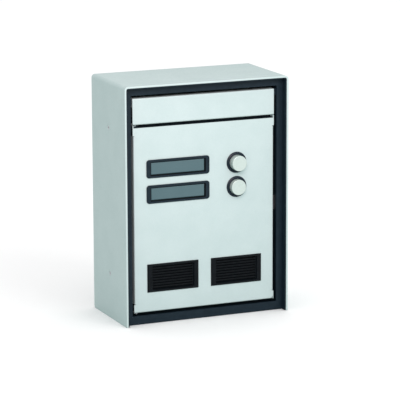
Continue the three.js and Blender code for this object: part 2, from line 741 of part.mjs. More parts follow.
function buttonCap(name, front) {
  const { cap, capWall, stem, stemBack, floor, travel } = BUTTON;
  const skirtEnd = floor - travel - 0.5;
  const roof = front + CAP_ROOF;
  const profile = [
    [0, front],
    [cap - CAP_EDGE, front],
    [cap, front + CAP_EDGE],
    [cap, skirtEnd],
    [cap - capWall, skirtEnd],
    [cap - capWall, roof],
    [stem, roof],
    [stem, stemBack],
    [0, stemBack],
  ];
  return node(`button_cap_${name}`, turned(profile, LARGE_ROUND), "capMetal");
}

// The return spring, as the closed sleeve that its coils fill.
function buttonSpring(name, front) {
  const { clear, wall } = BUTTON.spring;
  const limits = [front + CAP_ROOF + GAP, BUTTON.floor - GAP];
  const inner = BUTTON.stem + clear;
  const sleeve = discY(inner + wall, ...limits, SMALL_ROUND).subtract(discY(inner, 0, DEPTH, SMALL_ROUND));
  return node(`button_spring_${name}`, sleeve, "steel");
}

function buttonSwitch(name) {
  const { body, tag } = BUTTON;
  const front = BUTTON.barrelBack + GAP;
  const back = front + body.length;
  const whole = discY(body.radius, front, back);
  const tags = [-tag.x, tag.x].map((x) => {
    return box(span(x, tag.thick), [back - 1, back - 1 + tag.length], span(0, tag.height));
  });
  return node(`button_switch_${name}`, join(whole, ...tags), "deepBlack");
}

function pushButton(row) {
  const name = ROW_NAMES[row];
  const front = BUTTON.capFronts[row];
  const pieces = group(
    buttonCollar(name),
    buttonNut(name),
    buttonCap(name, front),
    buttonSpring(name, front),
    buttonSwitch(name),
  );
  return at(pieces, BUTTON.x, 0, BUTTON_ROWS[row]);
}

// ---- Speech grilles, loudspeaker and microphone ------------------------------------------------

// A rectangular plate whose front edges are chamfered.
function chamferedPlate(width, height, front, back, chamfer) {
  const [left, right] = span(0, width);
  const [low, high] = span(0, height);
  const outline = polygon([[left, low], [right, low], [right, high], [left, high]]);
  const options = {
    depth: back - front,
    bevelEnabled: true,
    bevelThickness: chamfer,
    bevelSize: chamfer,
    bevelOffset: -chamfer,
    bevelSegments: 1,
  };
  const whole = solid(new THREE.ExtrudeGeometry(outline, options), ALONG_Y).translate(0, back + chamfer, 0);
  return whole.subtract(box([-width, width], [back, DEPTH], [-height, height]));
}

function grille(name) {
  const { width, height, front, chamfer, fieldWidth, fieldHeight, bodyWidth, bodyHeight } = GRILLE;
  const { louvreFront, back, slots, pitch, slot } = GRILLE;
  const flange = chamferedPlate(width, height, front, LEAF_DEPTH - GAP, chamfer);
  const body = box(span(0, bodyWidth), [front + 0.5, back], span(0, bodyHeight));
  const field = box(span(0, fieldWidth), [0, louvreFront], span(0, fieldHeight));
  const gaps = [];
  for (let i = 0; i < slots; i += 1) {
    const z = pitch * (i - (slots - 1) / 2);
    gaps.push(box(span(0, fieldWidth - 1), [louvreFront - 1, back + 1], span(z, slot)));
  }
  return node(name, cut(join(flange, body), field, ...gaps), "deepBlack");
}

function loudspeaker() {
  const { radius, rim, rimFront, gasket, coneBack, neck, magnet, back } = SPEAKER;
  const mouth = radius - rim;
  const seat = rimFront + gasket + GAP;
  const thick = 1.2; // of the pressed basket
  const voiceCoil = 6;
  const rimBack = rimFront + gasket;
  const ring = [[mouth, rimFront], [radius, rimFront], [radius, rimBack], [mouth, rimBack]];
  const basket = [
    [mouth, seat],
    [radius, seat],
    [radius, seat + thick],
    [mouth + 1.6, seat + thick],
    [neck, coneBack + thick / 2],
    [voiceCoil, coneBack + thick / 2],
    [voiceCoil, coneBack - thick / 2],
    [neck - 0.8, coneBack - thick / 2],
  ];
  const dust = 30; // depth of the flat middle of the cone
  const cone = [
    [mouth - 1.8, seat + 0.4],
    [mouth - 1.4, seat + 1],
    [voiceCoil, dust + 0.4],
    [0, dust + 0.4],
    [0, dust - 0.4],
    [voiceCoil - 0.4, dust - 0.4],
  ];
  return group(
    node("speaker_gasket", turned(ring), "rubber"),
    node("speaker_basket", turned(basket), "steel"),
    node("speaker_cone", turned(cone), "paperCone"),
    node("speaker_magnet", discY(magnet, coneBack + thick / 2 + GAP, back), "ferrite"),
  );
}

function microphone() {
  const { boot, capsule, front, back } = MICROPHONE;
  const bore = capsule + GAP;
  const floor = back - MICROPHONE.floor;
  const lip = 0.9; // the capsule sits behind the boot's mouth
  const cup = [[bore, front], [boot, front], [boot, back], [0, back], [0, floor], [bore, floor]];
  return group(
    node("microphone_boot", turned(cup), "rubber"),
    node("microphone_capsule", discY(capsule, front + lip, floor - GAP, SMALL_ROUND), "steel"),
  );
}

// ---- Main board --------------------------------------------------------------------------------

function mainBoard() {
  const { x, z, width, height, front, thick, holeInset, spacer } = BOARD;
  const board = node("main_board", box(span(0, width), [front, front + thick], span(0, height)), "board");
  const post = discY(spacer, LEAF_BACK + GAP, front - GAP, SMALL_ROUND);
  const corners = [-1, 1].flatMap((right) => [-1, 1].map((up) => [right, up]));
  const posts = corners.map(([right, up], i) => {
    const postX = right * (width / 2 - holeInset);
    const postZ = up * (height / 2 - holeInset);
    return at(node(`board_spacer_${i + 1}`, post, "brass"), postX, 0, postZ);
  });
  const back = front + thick + GAP;
  const connectorBack = back + CONNECTOR.depth;
  const connector = box(CONNECTOR.x, [back, connectorBack], CONNECTOR.z);
  const entries = [];
  for (let way = 0; way < CONNECTOR.ways; way += 1) {
    const entryFront = connectorBack - CONNECTOR.entryDepth;
    const entry = discY(CONNECTOR.entry, entryFront, connectorBack + 1, SMALL_ROUND);
    const wayX = CONNECTOR.first + CONNECTOR.pitch * way;
    entries.push(entry.translate(wayX, 0, (CONNECTOR.z[0] + CONNECTOR.z[1]) / 2));
  }
  const chip = box(CHIP.x, [back, back + CHIP.depth], CHIP.z);
  const can = discY(CAPACITOR.radius, back, back + CAPACITOR.length, SMALL_ROUND);
  const capacitor = can.translate(CAPACITOR.x, 0, CAPACITOR.z);
  const pieces = group(
    board,
    ...posts,
    node("board_connector", cut(connector, ...entries), "terminal"),
    node("speech_chip", chip, "deepBlack"),
    node("supply_capacitor", capacitor, "deepBlack"),
  );
  return at(pieces, x, 0, z);
}

// ---- Assembly ----------------------------------------------------------------------------------

const wallCase = group(
  hood(),
  ...hoodScrews(),
  frontFrame(),
  ...frameScrews(),
  boxBody(),
  cableGrommet(),
  ...caseTerminals(),
  ...hingePins(),
  catchMagnet(),
  ...flapHardware(),
);
const door = group(
  doorPanel(),
  doorStrike(),
  namePlate(0),
  namePlate(1),
  lampBoard(),
  pushButton(0),
  pushButton(1),
  at(grille("speaker_grille"), -GRILLE.x, 0, GRILLE.z),
  at(grille("microphone_grille"), GRILLE.x, 0, GRILLE.z),
  at(loudspeaker(), -GRILLE.x, 0, GRILLE.z),
  at(microphone(), GRILLE.x, 0, GRILLE.z),
  mainBoard(),
);
const assembly = group(wallCase, flap(), door);
assembly.position.y = -DEPTH / 2;

export default group(assembly);
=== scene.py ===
"""Door intercom panel: the looks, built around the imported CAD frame.

Shapes are worked out in millimetres of the row frame and written to Blender in metres.
The front faces -Y, +X is to the right seen from the front, and +Z is up."""
import json
from math import acos, cos, pi, radians, sin, tan

import bmesh
import bpy
from mathutils import Matrix, Vector
from mathutils.geometry import tessellate_polygon

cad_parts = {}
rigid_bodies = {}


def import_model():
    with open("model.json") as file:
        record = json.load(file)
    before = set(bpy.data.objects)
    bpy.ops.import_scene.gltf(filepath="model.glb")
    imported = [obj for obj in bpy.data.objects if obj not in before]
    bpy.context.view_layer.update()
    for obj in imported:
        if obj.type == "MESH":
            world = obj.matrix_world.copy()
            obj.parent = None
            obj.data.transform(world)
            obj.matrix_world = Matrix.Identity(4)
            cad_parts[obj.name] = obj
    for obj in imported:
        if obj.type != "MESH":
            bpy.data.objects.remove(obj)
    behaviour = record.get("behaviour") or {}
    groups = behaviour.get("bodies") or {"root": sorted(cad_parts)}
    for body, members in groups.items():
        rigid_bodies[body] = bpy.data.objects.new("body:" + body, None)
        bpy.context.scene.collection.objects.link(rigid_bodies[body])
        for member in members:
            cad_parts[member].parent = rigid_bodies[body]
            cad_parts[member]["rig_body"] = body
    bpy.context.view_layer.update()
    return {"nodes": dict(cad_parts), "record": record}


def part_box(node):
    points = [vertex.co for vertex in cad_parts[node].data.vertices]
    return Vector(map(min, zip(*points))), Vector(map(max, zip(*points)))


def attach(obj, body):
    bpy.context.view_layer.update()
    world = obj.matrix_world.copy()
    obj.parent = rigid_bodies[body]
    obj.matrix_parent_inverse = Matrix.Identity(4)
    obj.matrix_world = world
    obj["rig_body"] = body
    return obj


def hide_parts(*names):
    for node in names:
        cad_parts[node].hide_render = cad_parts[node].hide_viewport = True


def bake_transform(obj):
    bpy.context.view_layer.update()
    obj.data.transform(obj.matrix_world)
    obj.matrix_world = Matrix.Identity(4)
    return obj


MM = 0.001
GAP = 0.3  # between pieces that touch, as in the CAD

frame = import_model()
RECORD = frame["record"]
SLOT_OF = {part["node"]: part["material_slot"] for part in RECORD["subparts"]}
NODES = frame["nodes"]


class Limits:
    """A CAD node's limits at rest, in millimetres."""

    def __init__(self, node):
        low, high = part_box(node)
        self.x0, self.y0, self.z0 = (value / MM for value in low)
        self.x1, self.y1, self.z1 = (value / MM for value in high)
        self.x, self.y, self.z = (self.x0 + self.x1) / 2, (self.y0 + self.y1) / 2, (self.z0 + self.z1) / 2
        self.width, self.depth, self.height = self.x1 - self.x0, self.y1 - self.y0, self.z1 - self.z0


CASE = Limits("hood")

# ---- Camera --------------------------------------------------------------------------------------

CAMERA = {
    "azimuth": -23.076,
    "elevation": 11.930,
    "roll": -0.209,
    "distance": 3.28516,  # from the middle of the hood's front edge
    "step_right": -0.01107,
    "step_up": 0.00209,
    "lens": 217.8,
    "sensor": 36,
}


def add_camera():
    azimuth, elevation, roll = (radians(CAMERA[key]) for key in ("azimuth", "elevation", "roll"))
    back = Vector((sin(azimuth) * cos(elevation), -cos(azimuth) * cos(elevation), sin(elevation)))
    right = Vector((0, 0, 1)).cross(back).normalized()
    up = back.cross(right)
    aim = Vector((CASE.x, CASE.y0, CASE.z)) * MM
    data = bpy.data.cameras.new("camera")
    data.lens = CAMERA["lens"]
    data.sensor_width = CAMERA["sensor"]
    camera = bpy.data.objects.new("camera", data)
    bpy.context.scene.collection.objects.link(camera)
    camera.location = aim + back * CAMERA["distance"] + right * CAMERA["step_right"] + up * CAMERA["step_up"]
    turned_right = right * cos(roll) + up * sin(roll)
    turned_up = up * cos(roll) - right * sin(roll)
    camera.rotation_mode = "QUATERNION"
    camera.rotation_quaternion = Matrix((turned_right, turned_up, back)).transposed().to_quaternion()
    bpy.context.scene.camera = camera


# ---- Materials -----------------------------------------------------------------------------------


class Finish:
    """A Principled material whose textures lie in the object's own space, sized in millimetres."""

    def __init__(self, name, **sockets):
        self.material = bpy.data.materials.new(name)
        self.material.use_nodes = True
        self.nodes = self.material.node_tree.nodes
        self.links = self.material.node_tree.links
        self.shader = self.nodes["Principled BSDF"]
        self.place = self.nodes.new("ShaderNodeTexCoord").outputs["Object"]
        self.normal = None
        for socket, value in sockets.items():
            self.shader.inputs[socket.replace("_", " ")].default_value = value

    def mapped(self, stretch):
        mapping = self.nodes.new("ShaderNodeMapping")
        mapping.inputs["Scale"].default_value = [1 / (size * MM) for size in stretch]
        self.links.new(self.place, mapping.inputs["Vector"])
        return mapping.outputs["Vector"]

    def texture(self, kind, output, stretch, **values):
        node = self.nodes.new("ShaderNodeTex" + kind)
        self.links.new(self.mapped(stretch), node.inputs["Vector"])
        for socket, value in {"Scale": 1, **values}.items():
            node.inputs[socket].default_value = value
        return node.outputs[output]

    def noise(self, size, detail=2.0, stretch=(1, 1, 1)):
        return self.texture("Noise", "Fac", [size * s for s in stretch], Detail=detail)

    def flakes(self, size):
        """A random grey for each cell."""
        colour = self.texture("Voronoi", "Color", [size] * 3)
        split = self.nodes.new("ShaderNodeSeparateColor")
        self.links.new(colour, split.inputs["Color"])
        return split.outputs["Red"]

    def between(self, source, low, high, first=0.3, last=0.7):
        span = self.nodes.new("ShaderNodeMapRange")
        self.links.new(source, span.inputs["Value"])
        for socket, value in {"From Min": first, "From Max": last, "To Min": low, "To Max": high}.items():
            span.inputs[socket].default_value = value
        return span.outputs["Result"]

    def ramp(self, source, dark, light, first=0.35, last=0.65):
        node = self.nodes.new("ShaderNodeValToRGB")
        start, end = node.color_ramp.elements
        start.position, start.color = first, (*dark, 1)
        end.position, end.color = last, (*light, 1)
        self.links.new(source, node.inputs["Fac"])
        return node.outputs["Color"]

    def multiply(self, first, second):
        mix = self.nodes.new("ShaderNodeMix")
        mix.data_type = "RGBA"
        mix.blend_type = "MULTIPLY"
        mix.inputs["Factor"].default_value = 1
        self.links.new(first, mix.inputs[6])
        self.links.new(second, mix.inputs[7])
        return mix.outputs[2]

    def colour(self, source, dark, light, first=0.35, last=0.65):
        self.links.new(self.ramp(source, dark, light, first, last), self.shader.inputs["Base Color"])
        return self

    def roughness(self, source, low, high):
        self.links.new(self.between(source, low, high), self.shader.inputs["Roughness"])
        return self

    def bump(self, source, microns, strength=1.0):
        node = self.nodes.new("ShaderNodeBump")
        node.inputs["Distance"].default_value = microns * 1e-6
        node.inputs["Strength"].default_value = strength
        self.links.new(source, node.inputs["Height"])
        if self.normal:
            self.links.new(self.normal, node.inputs["Normal"])
        self.normal = node.outputs["Normal"]
        self.links.new(self.normal, self.shader.inputs["Normal"])
        return self


def linear(*display):
    """A display colour, 0 to 255, as linear light."""
    return tuple((c / 255 / 12.92) if c < 10.3 else ((c / 255 + 0.055) / 1.055) ** 2.4 for c in display)


def silver_paint():
    """Fine-textured silver powder coat: small flakes, a soft mottle and orange peel."""
    finish = Finish("silver_paint", Metallic=0.22, IOR=1.45)
    flake = finish.ramp(finish.flakes(0.35), (0.93, 0.93, 0.93), (1.0, 1.0, 1.0), 0.1, 0.9)
    mottle = finish.ramp(finish.noise(28, 3), (0.322, 0.437, 0.430), (0.338, 0.453, 0.446))
    finish.links.new(finish.multiply(mottle, flake), finish.shader.inputs["Base Color"])
    finish.roughness(finish.noise(3.5, 4), 0.38, 0.46)
    return finish.bump(finish.noise(1.6, 3), 9).bump(finish.noise(0.35, 2), 5)


def inner_paint():
    finish = Finish("inner_paint", Metallic=0.1)
    finish.colour(finish.noise(4, 4), (0.270, 0.345, 0.340), (0.290, 0.365, 0.360))
    finish.roughness(finish.noise(2, 4), 0.5, 0.66)
    return finish.bump(finish.noise(0.9, 3), 14)


def steel():
    """Zinc-plated steel with a faint drawn grain."""
    finish = Finish("steel", Metallic=1)
    finish.colour(finish.noise(2.2, 5), linear(172, 176, 180), linear(200, 203, 205))
    finish.roughness(finish.noise(1.2, 4, (1, 1, 0.2)), 0.26, 0.42)
    return finish.bump(finish.noise(0.3, 3, (1, 1, 0.2)), 4)


def moulded(name, dark, light, roughness, grain, microns, gloss=0.5):
    """Moulded plastic with an eroded grain and a slow change of tone."""
    finish = Finish(name, IOR=1.5, Specular_IOR_Level=gloss)
    finish.colour(finish.noise(6, 4), dark, light)
    finish.roughness(finish.noise(1.1, 4), roughness - 0.05, roughness + 0.05)
    return finish.bump(finish.noise(grain, 3), microns).bump(finish.noise(grain * 6, 2), microns)


def cap_metal():
    """Satin metal with a fine grain that runs across the face."""
    finish = Finish("cap_metal", Metallic=0.35, Coat_Weight=0.1, Coat_Roughness=0.12)
    finish.colour(finish.noise(1.8, 5), (0.335, 0.435, 0.405), (0.353, 0.459, 0.427))
    finish.roughness(finish.noise(0.5, 4, (4, 4, 0.4)), 0.26, 0.36)
    return finish.bump(finish.noise(0.18, 2, (6, 6, 0.6)), 3)


def smoked_window():
    """Slate-grey smoked window, glossy, with the card's tone faintly uneven behind it."""
    finish = Finish("smoked_window", IOR=1.49, Coat_Weight=0.2, Coat_Roughness=0.06)
    finish.colour(finish.noise(30, 2), (0.029, 0.073, 0.083), (0.032, 0.077, 0.087))
    finish.roughness(finish.noise(4, 3), 0.16, 0.26)
    return finish.bump(finish.noise(5, 2), 10)


def card():
    finish = Finish("card")
    finish.colour(finish.noise(0.8, 6, (3, 1, 1)), linear(205, 208, 204), linear(222, 225, 221))
    finish.roughness(finish.noise(1, 3), 0.75, 0.9)
    return finish.bump(finish.noise(0.25, 4, (3, 1, 1)), 8)


def diffuser():
    finish = Finish("diffuser", Subsurface_Weight=0.3, Subsurface_Scale=0.002, IOR=1.49)
    finish.colour(finish.noise(5, 3), linear(226, 230, 226), linear(238, 241, 237))
    finish.roughness(finish.noise(2, 3), 0.35, 0.5)
    return finish.bump(finish.noise(1.5, 2), 8)


def rubber():
    finish = Finish("rubber")
    finish.colour(finish.noise(1.5, 5), linear(18, 18, 20), linear(36, 36, 38))
    finish.roughness(finish.noise(0.8, 4), 0.72, 0.9)
    return finish.bump(finish.noise(0.25, 3), 10)


def board():
    """Green solder mask over a net of straight copper tracks."""
    finish = Finish("board", Coat_Weight=0.4, Coat_Roughness=0.2)
    tracks = finish.texture("Brick", "Fac", (14, 14, 7), **{"Mortar Size": 0.06, "Brick Width": 0.8})
    mask = finish.ramp(tracks, linear(24, 88, 56), linear(52, 126, 78), 0.2, 0.8)
    tone = finish.ramp(finish.noise(10, 4), (0.85, 0.85, 0.85), (1, 1, 1))
    finish.links.new(finish.multiply(mask, tone), finish.shader.inputs["Base Color"])
    finish.roughness(finish.noise(3, 3), 0.3, 0.42)
    return finish.bump(tracks, 35)


def paper_cone():
    finish = Finish("paper_cone", Sheen_Weight=0.3)
    finish.colour(finish.noise(0.7, 6), linear(34, 32, 31), linear(58, 55, 52))
    finish.roughness(finish.noise(1, 3), 0.8, 0.95)
    return finish.bump(finish.noise(0.3, 5), 25)


def ferrite():
    finish = Finish("ferrite", Metallic=0.3)
    finish.colour(finish.noise(1.2, 5), linear(50, 51, 54), linear(74, 75, 78))
    finish.roughness(finish.noise(0.9, 4), 0.5, 0.7)
    return finish.bump(finish.noise(0.5, 4), 20)


def brass():
    finish = Finish("brass", Metallic=1)
    finish.colour(finish.noise(1.4, 5), linear(196, 160, 88), linear(222, 188, 112))
    finish.roughness(finish.noise(0.8, 4, (1, 0.2, 1)), 0.22, 0.38)
    return finish.bump(finish.noise(0.2, 3, (1, 0.2, 1)), 3)


FINISHES = {
    "silver_paint": silver_paint(),
    "inner_paint": inner_paint(),
    "steel": steel(),
    "black_frame": moulded(
        "black_frame", (0.0038, 0.0105, 0.0155), (0.0055, 0.0135, 0.0195), 0.42, 0.45, 14, 0.12
    ),
    # deep_black is the near-black of small black parts, and also painted shade: on the name plates' ledges
    # and throats and on the grille slots' floors it stands in for the shade in those recesses
    "deep_black": moulded(
        "deep_black", (0.0015, 0.0030, 0.0040), (0.0026, 0.0045, 0.0058), 0.4, 0.4, 10, 0.08
    ),
    "cap_metal": cap_metal(),
    "smoked_window": smoked_window(),
    "card": card(),
    "diffuser": diffuser(),
    "rubber": rubber(),
    "board": board(),
    "terminal": moulded("terminal", linear(62, 112, 74), linear(76, 130, 88), 0.45, 0.4, 10),
    "paper_cone": paper_cone(),
    "ferrite": ferrite(),
    "brass": brass(),
}

# ---- Outlines: functions of how far they are drawn inwards ---------------------------------------


def rectangle(x0, x1, z0, z1, radius=0.0, steps=5):
    def loop(inset):
        r = max(radius - inset, 0.01)
        near_x, far_x, near_z, far_z = x0 + inset + r, x1 - inset - r, z0 + inset + r, z1 - inset - r
        centres = [(far_x, near_z), (far_x, far_z), (near_x, far_z), (near_x, near_z)]
        points = []
        for corner, (x, z) in enumerate(centres):
            for step in range(steps + 1):
                angle = (corner - 1 + step / steps) * pi / 2
                points.append((x + r * cos(angle), z + r * sin(angle)))
        return points

    return loop


def around(at, grow=0.0, radius=0.0, steps=5):
    """A rectangle round a CAD node's limits, larger by grow on every side."""
    return rectangle(at.x0 - grow, at.x1 + grow, at.z0 - grow, at.z1 + grow, radius, steps)


def centred(x, z, width, height, radius=0.0, steps=5):
    """A rectangle about a point."""
    return rectangle(x - width / 2, x + width / 2, z - height / 2, z + height / 2, radius, steps)


def circle(x, z, radius, steps=48, turn=0.0):
    def loop(inset):
        angles = [turn + 2 * pi * step / steps for step in range(steps)]
        return [(x + (radius - inset) * cos(a), z + (radius - inset) * sin(a)) for a in angles]

    return loop


def polygon(corners, steps=5):
    """Corners are (u, v) or (u, v, radius), anticlockwise."""
    points = []
    for i, corner in enumerate(corners):
        here = Vector(corner[:2])
        radius = corner[2] if len(corner) > 2 else 0
        if not radius:
            points.append(here)
            continue
        before = (Vector(corners[i - 1][:2]) - here).normalized()
        after = (Vector(corners[(i + 1) % len(corners)][:2]) - here).normalized()
        half = acos(max(-1, min(1, before.dot(after)))) / 2
        centre = here + (before + after).normalized() * (radius / sin(half))
        spoke = here + before * (radius / tan(half)) - centre
        side = 1 if before.x * after.y - before.y * after.x < 0 else -1
        for step in range(steps + 1):
            angle = side * (pi - 2 * half) * step / steps
            points.append(centre + Matrix.Rotation(angle, 2) @ spoke)

    def loop(inset):
        moved = []
        for i, here in enumerate(points):
            first = (here - points[i - 1]).normalized()
            second = (points[(i + 1) % len(points)] - here).normalized()
            left = Vector((-first.y, first.x))
            left_next = Vector((-second.y, second.x))
            moved.append(tuple(here + (left + left_next) * (inset / (1 + left.dot(left_next)))))
        return moved

    return loop


def hole(outline):
    """The same outline as a hole: material is outside it."""
    return lambda inset: outline(-inset)


def rounded_edge(front, back, radius, steps=3):
    """Insets and depths along the edge of a plate, from its front face to its back face."""
    way = 1 if back > front else -1
    quarter = [step / steps * pi / 2 for step in range(steps + 1)]
    near = [(radius * (1 - sin(a)), front + way * radius * (1 - cos(a))) for a in quarter]
    far = [(inset, front + back - depth) for inset, depth in reversed(near)]
    return near + far


# ---- Solids --------------------------------------------------------------------------------------


class Solid:
    """A closed mesh put together from rings of points and the caps that fill them, in millimetres.

    Outlines are drawn in X and Z and go back along Y, or lie across the axis that is named."""

    def __init__(self, axis="y"):
        self.mesh = bmesh.new()
        self.axis = axis
        self.coat = 0

    def point(self, u, v, w):
        return {"x": (w, u, v), "y": (u, w, v), "z": (u, v, w)}[self.axis]

    def face(self, corners):
        made = self.mesh.faces.new(corners)
        made.material_index = self.coat

    def ring(self, points, w):
        return [self.mesh.verts.new(self.point(u, v, w)) for u, v in points]

    def bridge(self, a, b):
        for i, corner in enumerate(a):
            j = (i + 1) % len(a)
            self.face((corner, a[j], b[j], b[i]))

    def wall(self, outline, profile, closed=False):
        """Rings of one outline, drawn in by each inset at each depth. Returns the first and the last."""
        rings = [self.ring(outline(inset), w) for inset, w in profile]
        for a, b in zip(rings, rings[1:] + rings[:1] if closed else rings[1:]):
            self.bridge(a, b)
        return rings[0], rings[-1]

    def cap(self, outer, *holes):
        """Fills a ring, leaving out the rings inside it."""
        loops = [outer, *holes]
        corners = [corner for loop in loops for corner in loop]
        for triangle in tessellate_polygon([[corner.co for corner in loop] for loop in loops]):
            if len(set(triangle)) == 3:
                self.face([corners[i] for i in triangle])

    def plate(self, outline, holes, front, back, radius=GAP, special=()):
        """A plate with rounded edges. special holds holes with a profile of their own."""
        profile = rounded_edge(front, back, radius)
        ends = [self.wall(each, profile) for each in [outline, *map(hole, holes)]]
        ends += [self.wall(hole(each), own) for each, own in special]
        self.cap(*[first for first, last in ends])
        self.cap(*[last for first, last in ends])
        return self

    def turn(self, u, v, profile, steps=48, closed=False):
        """A solid of revolution: profile points are (radius, depth)."""
        first, last = self.wall(circle(u, v, 0, steps), [(-r, w) for r, w in profile], closed)
        if not closed:
            self.cap(first)
            self.cap(last)
        return self

    def block(self, x, y, z, radius=GAP):
        """A box with rounded edges between pairs of limits, whatever the axis."""
        sides = {"x": (y, z, x), "y": (x, z, y), "z": (x, y, z)}[self.axis]
        u, v, w = sides
        self.plate(rectangle(*u, *v, radius), [], *w, radius)
        return self

    def slice(self, direction, places):
        """Cuts every face along planes across a direction, so that the mesh can bend there."""
        normal = Vector(direction)
        for place in places:
            everything = [*self.mesh.verts, *self.mesh.edges, *self.mesh.faces]
            bmesh.ops.bisect_plane(
                self.mesh, geom=everything, dist=1e-4, plane_co=normal * place, plane_no=normal
            )

    def reshape(self, place):
        """Moves every point to place(x, y, z)."""
        for vertex in self.mesh.verts:
            vertex.co = place(*vertex.co)


def fold(along, inward, start, heading, bends):
    """Where a point of a flat sheet goes when the sheet is bent in its section's plane.

    start is the sheet's first edge, heading its direction in degrees, and each bend is
    (distance along the flat sheet, outer radius, angle in degrees), turning to the right."""
    here = Vector(start)
    angle = radians(heading)
    walked = 0.0
    for begin, radius, turn in bends:
        if along <= begin:
            break
        here = here + Vector((cos(angle), sin(angle))) * (begin - walked)
        centre = here + Vector((sin(angle), -cos(angle))) * radius
        arc = radius * radians(turn)
        angle -= min(along - begin, arc) / radius
        here = centre - Vector((sin(angle), -cos(angle))) * radius
        walked = min(along, begin + arc)
    here = here + Vector((cos(angle), sin(angle))) * (along - walked)
    return here + Vector((sin(angle), -cos(angle))) * inward


def bend_lines(bends, steps=8):
    """Where a flat sheet has to be cut for its bends to be smooth."""
    shares = [step / steps for step in range(steps + 1)]
    return [begin + radius * radians(turn) * share for begin, radius, turn in bends for share in shares]


SHARP = 38  # degrees: edges that are sharper stay crisp


def piece(name, solid, slot, body, more=()):
    """A Solid as a Blender piece that rides on a CAD body."""
    bmesh.ops.recalc_face_normals(solid.mesh, faces=solid.mesh.faces)
    bmesh.ops.scale(solid.mesh, vec=(MM, MM, MM), verts=solid.mesh.verts)
    data = bpy.data.meshes.new(name)
    solid.mesh.to_mesh(data)
    solid.mesh.free()
    data.shade_smooth()
    data.set_sharp_from_angle(angle=radians(SHARP))
    for each in (slot, *more):
        data.materials.append(FINISHES[each].material)
    made = bpy.data.objects.new(name, data)
    bpy.context.scene.collection.objects.link(made)
    weighted = made.modifiers.new("even_normals", "WEIGHTED_NORMAL")
    weighted.keep_sharp = True
    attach(made, body)
    return made


def stands_for(node, solid, more=()):
    """A piece in place of one CAD node: it takes that node's body and material slot."""
    made = piece(node + "_fine", solid, SLOT_OF[node], NODES[node]["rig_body"], more)
    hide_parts(node)
    return made


def turned(node, profile, steps=48, closed=False):
    """A solid of revolution about a CAD node's own axis, along Y, in place of that node."""
    at = Limits(node)
    return stands_for(node, Solid("y").turn(at.x, at.z, profile, steps, closed))


def refine(node, edge=0.3):
    """A CAD node that stays: its edges are rounded and it gets its finish."""
    made = NODES[node]
    weld = made.modifiers.new("weld", "WELD")
    weld.merge_threshold = 1e-6
    bevel = made.modifiers.new("rounded_edges", "BEVEL")
    bevel.width = edge * MM
    bevel.segments = 2
    bevel.limit_method = "ANGLE"
    bevel.angle_limit = radians(30)
    made.data.materials.clear()
    made.data.materials.append(FINISHES[SLOT_OF[node]].material)
    return made


# ---- Rain hood -----------------------------------------------------------------------------------

HOOD = {"sheet": 2.5, "bend": 5.0, "front_corner": 1.0, "back_corner": 4.0, "edge": 0.35}
HOOD_SCREWS = [f"hood_screw_{side}_{row}" for side in ("left", "right") for row in ("lower", "upper")]
SCREW_HEAD = 3.4
SCREW_SHANK = 2.0
SCREW_SINK = 0.5  # how far the head lies behind the hood's face
SCREW_PITCH = 0.7
SCREW_THREAD = 0.35  # depth of the thread
HEX_SOCKET = 1.45  # from the screw's axis to a corner of its socket
SOCKET_DEPTH = 1.2


def hood():
    side = CASE.height - HOOD["bend"]
    arc = HOOD["bend"] * pi / 2
    across = CASE.width - 2 * HOOD["bend"]
    length = 2 * side + 2 * arc + across
    bends = [(side, HOOD["bend"], 90), (side + arc + across, HOOD["bend"], 90)]
    front, back, edge = HOOD["front_corner"], HOOD["back_corner"], HOOD["edge"]
    corners = [(0, CASE.y0, front), (length, CASE.y0, front), (length, CASE.y1, back), (0, CASE.y1, back)]
    cone = SCREW_HEAD - SCREW_SHANK
    sink = [
        (cone + edge, 0), (cone + 0.1, edge / 3), (cone, edge), (0, edge + cone),
        (0, HOOD["sheet"] - edge), (edge, HOOD["sheet"]),
    ]
    special = []
    for screw in map(Limits, HOOD_SCREWS):
        u = screw.z if screw.x < 0 else length - screw.z
        special.append((circle(u, screw.y, SCREW_SHANK + GAP), sink))
    sheet = Solid("z")
    sheet.plate(polygon(corners), [], 0, HOOD["sheet"], edge, special)
    sheet.slice((1, 0, 0), bend_lines(bends))

    def place(u, v, w):
        x, z = fold(u, w, (CASE.x0, CASE.z0), 90, bends)
        return Vector((x, v, z))

    sheet.reshape(place)
    return stands_for("hood", sheet)


def hood_screw(node):
    """A countersunk screw with a hexagon socket, its head facing out."""
    at = Limits(node)
    outside, way = (at.x0, 1) if at.x < 0 else (at.x1, -1)
    length = at.width
    screw = Solid("x")
    head = SCREW_HEAD - SCREW_SINK
    profile = [
        (head - 0.2, SCREW_SINK), (head - 0.05, SCREW_SINK + 0.08), (head, SCREW_SINK + 0.3),
        (SCREW_SHANK, SCREW_SINK + 0.3 + head - SCREW_SHANK),
    ]
    start = profile[-1][1]
    for turn in range(int((length - start - 1) / SCREW_PITCH)):
        profile.append((SCREW_SHANK - SCREW_THREAD, start + SCREW_PITCH * (turn + 0.5)))
        profile.append((SCREW_SHANK, start + SCREW_PITCH * (turn + 1)))
    profile.append((SCREW_SHANK - 0.8, length))
    rim = [(-r, outside + way * w) for r, w in profile]
    first, last = screw.wall(circle(at.y, at.z, 0), rim)
    socket = circle(at.y, at.z, HEX_SOCKET, 6)
    face = outside + way * SCREW_SINK
    socket_wall = [(0, face), (0.12, face + way * 0.12), (0.12, face + way * SOCKET_DEPTH)]
    mouth, floor = screw.wall(socket, socket_wall)
    screw.cap(first, mouth)
    screw.cap(floor)
    screw.cap(last)
    return stands_for(node, screw)


# ---- Flap and door leaf --------------------------------------------------------------------------

LEAF_SHEET = 1.5
LEAF_EDGE = 0.3


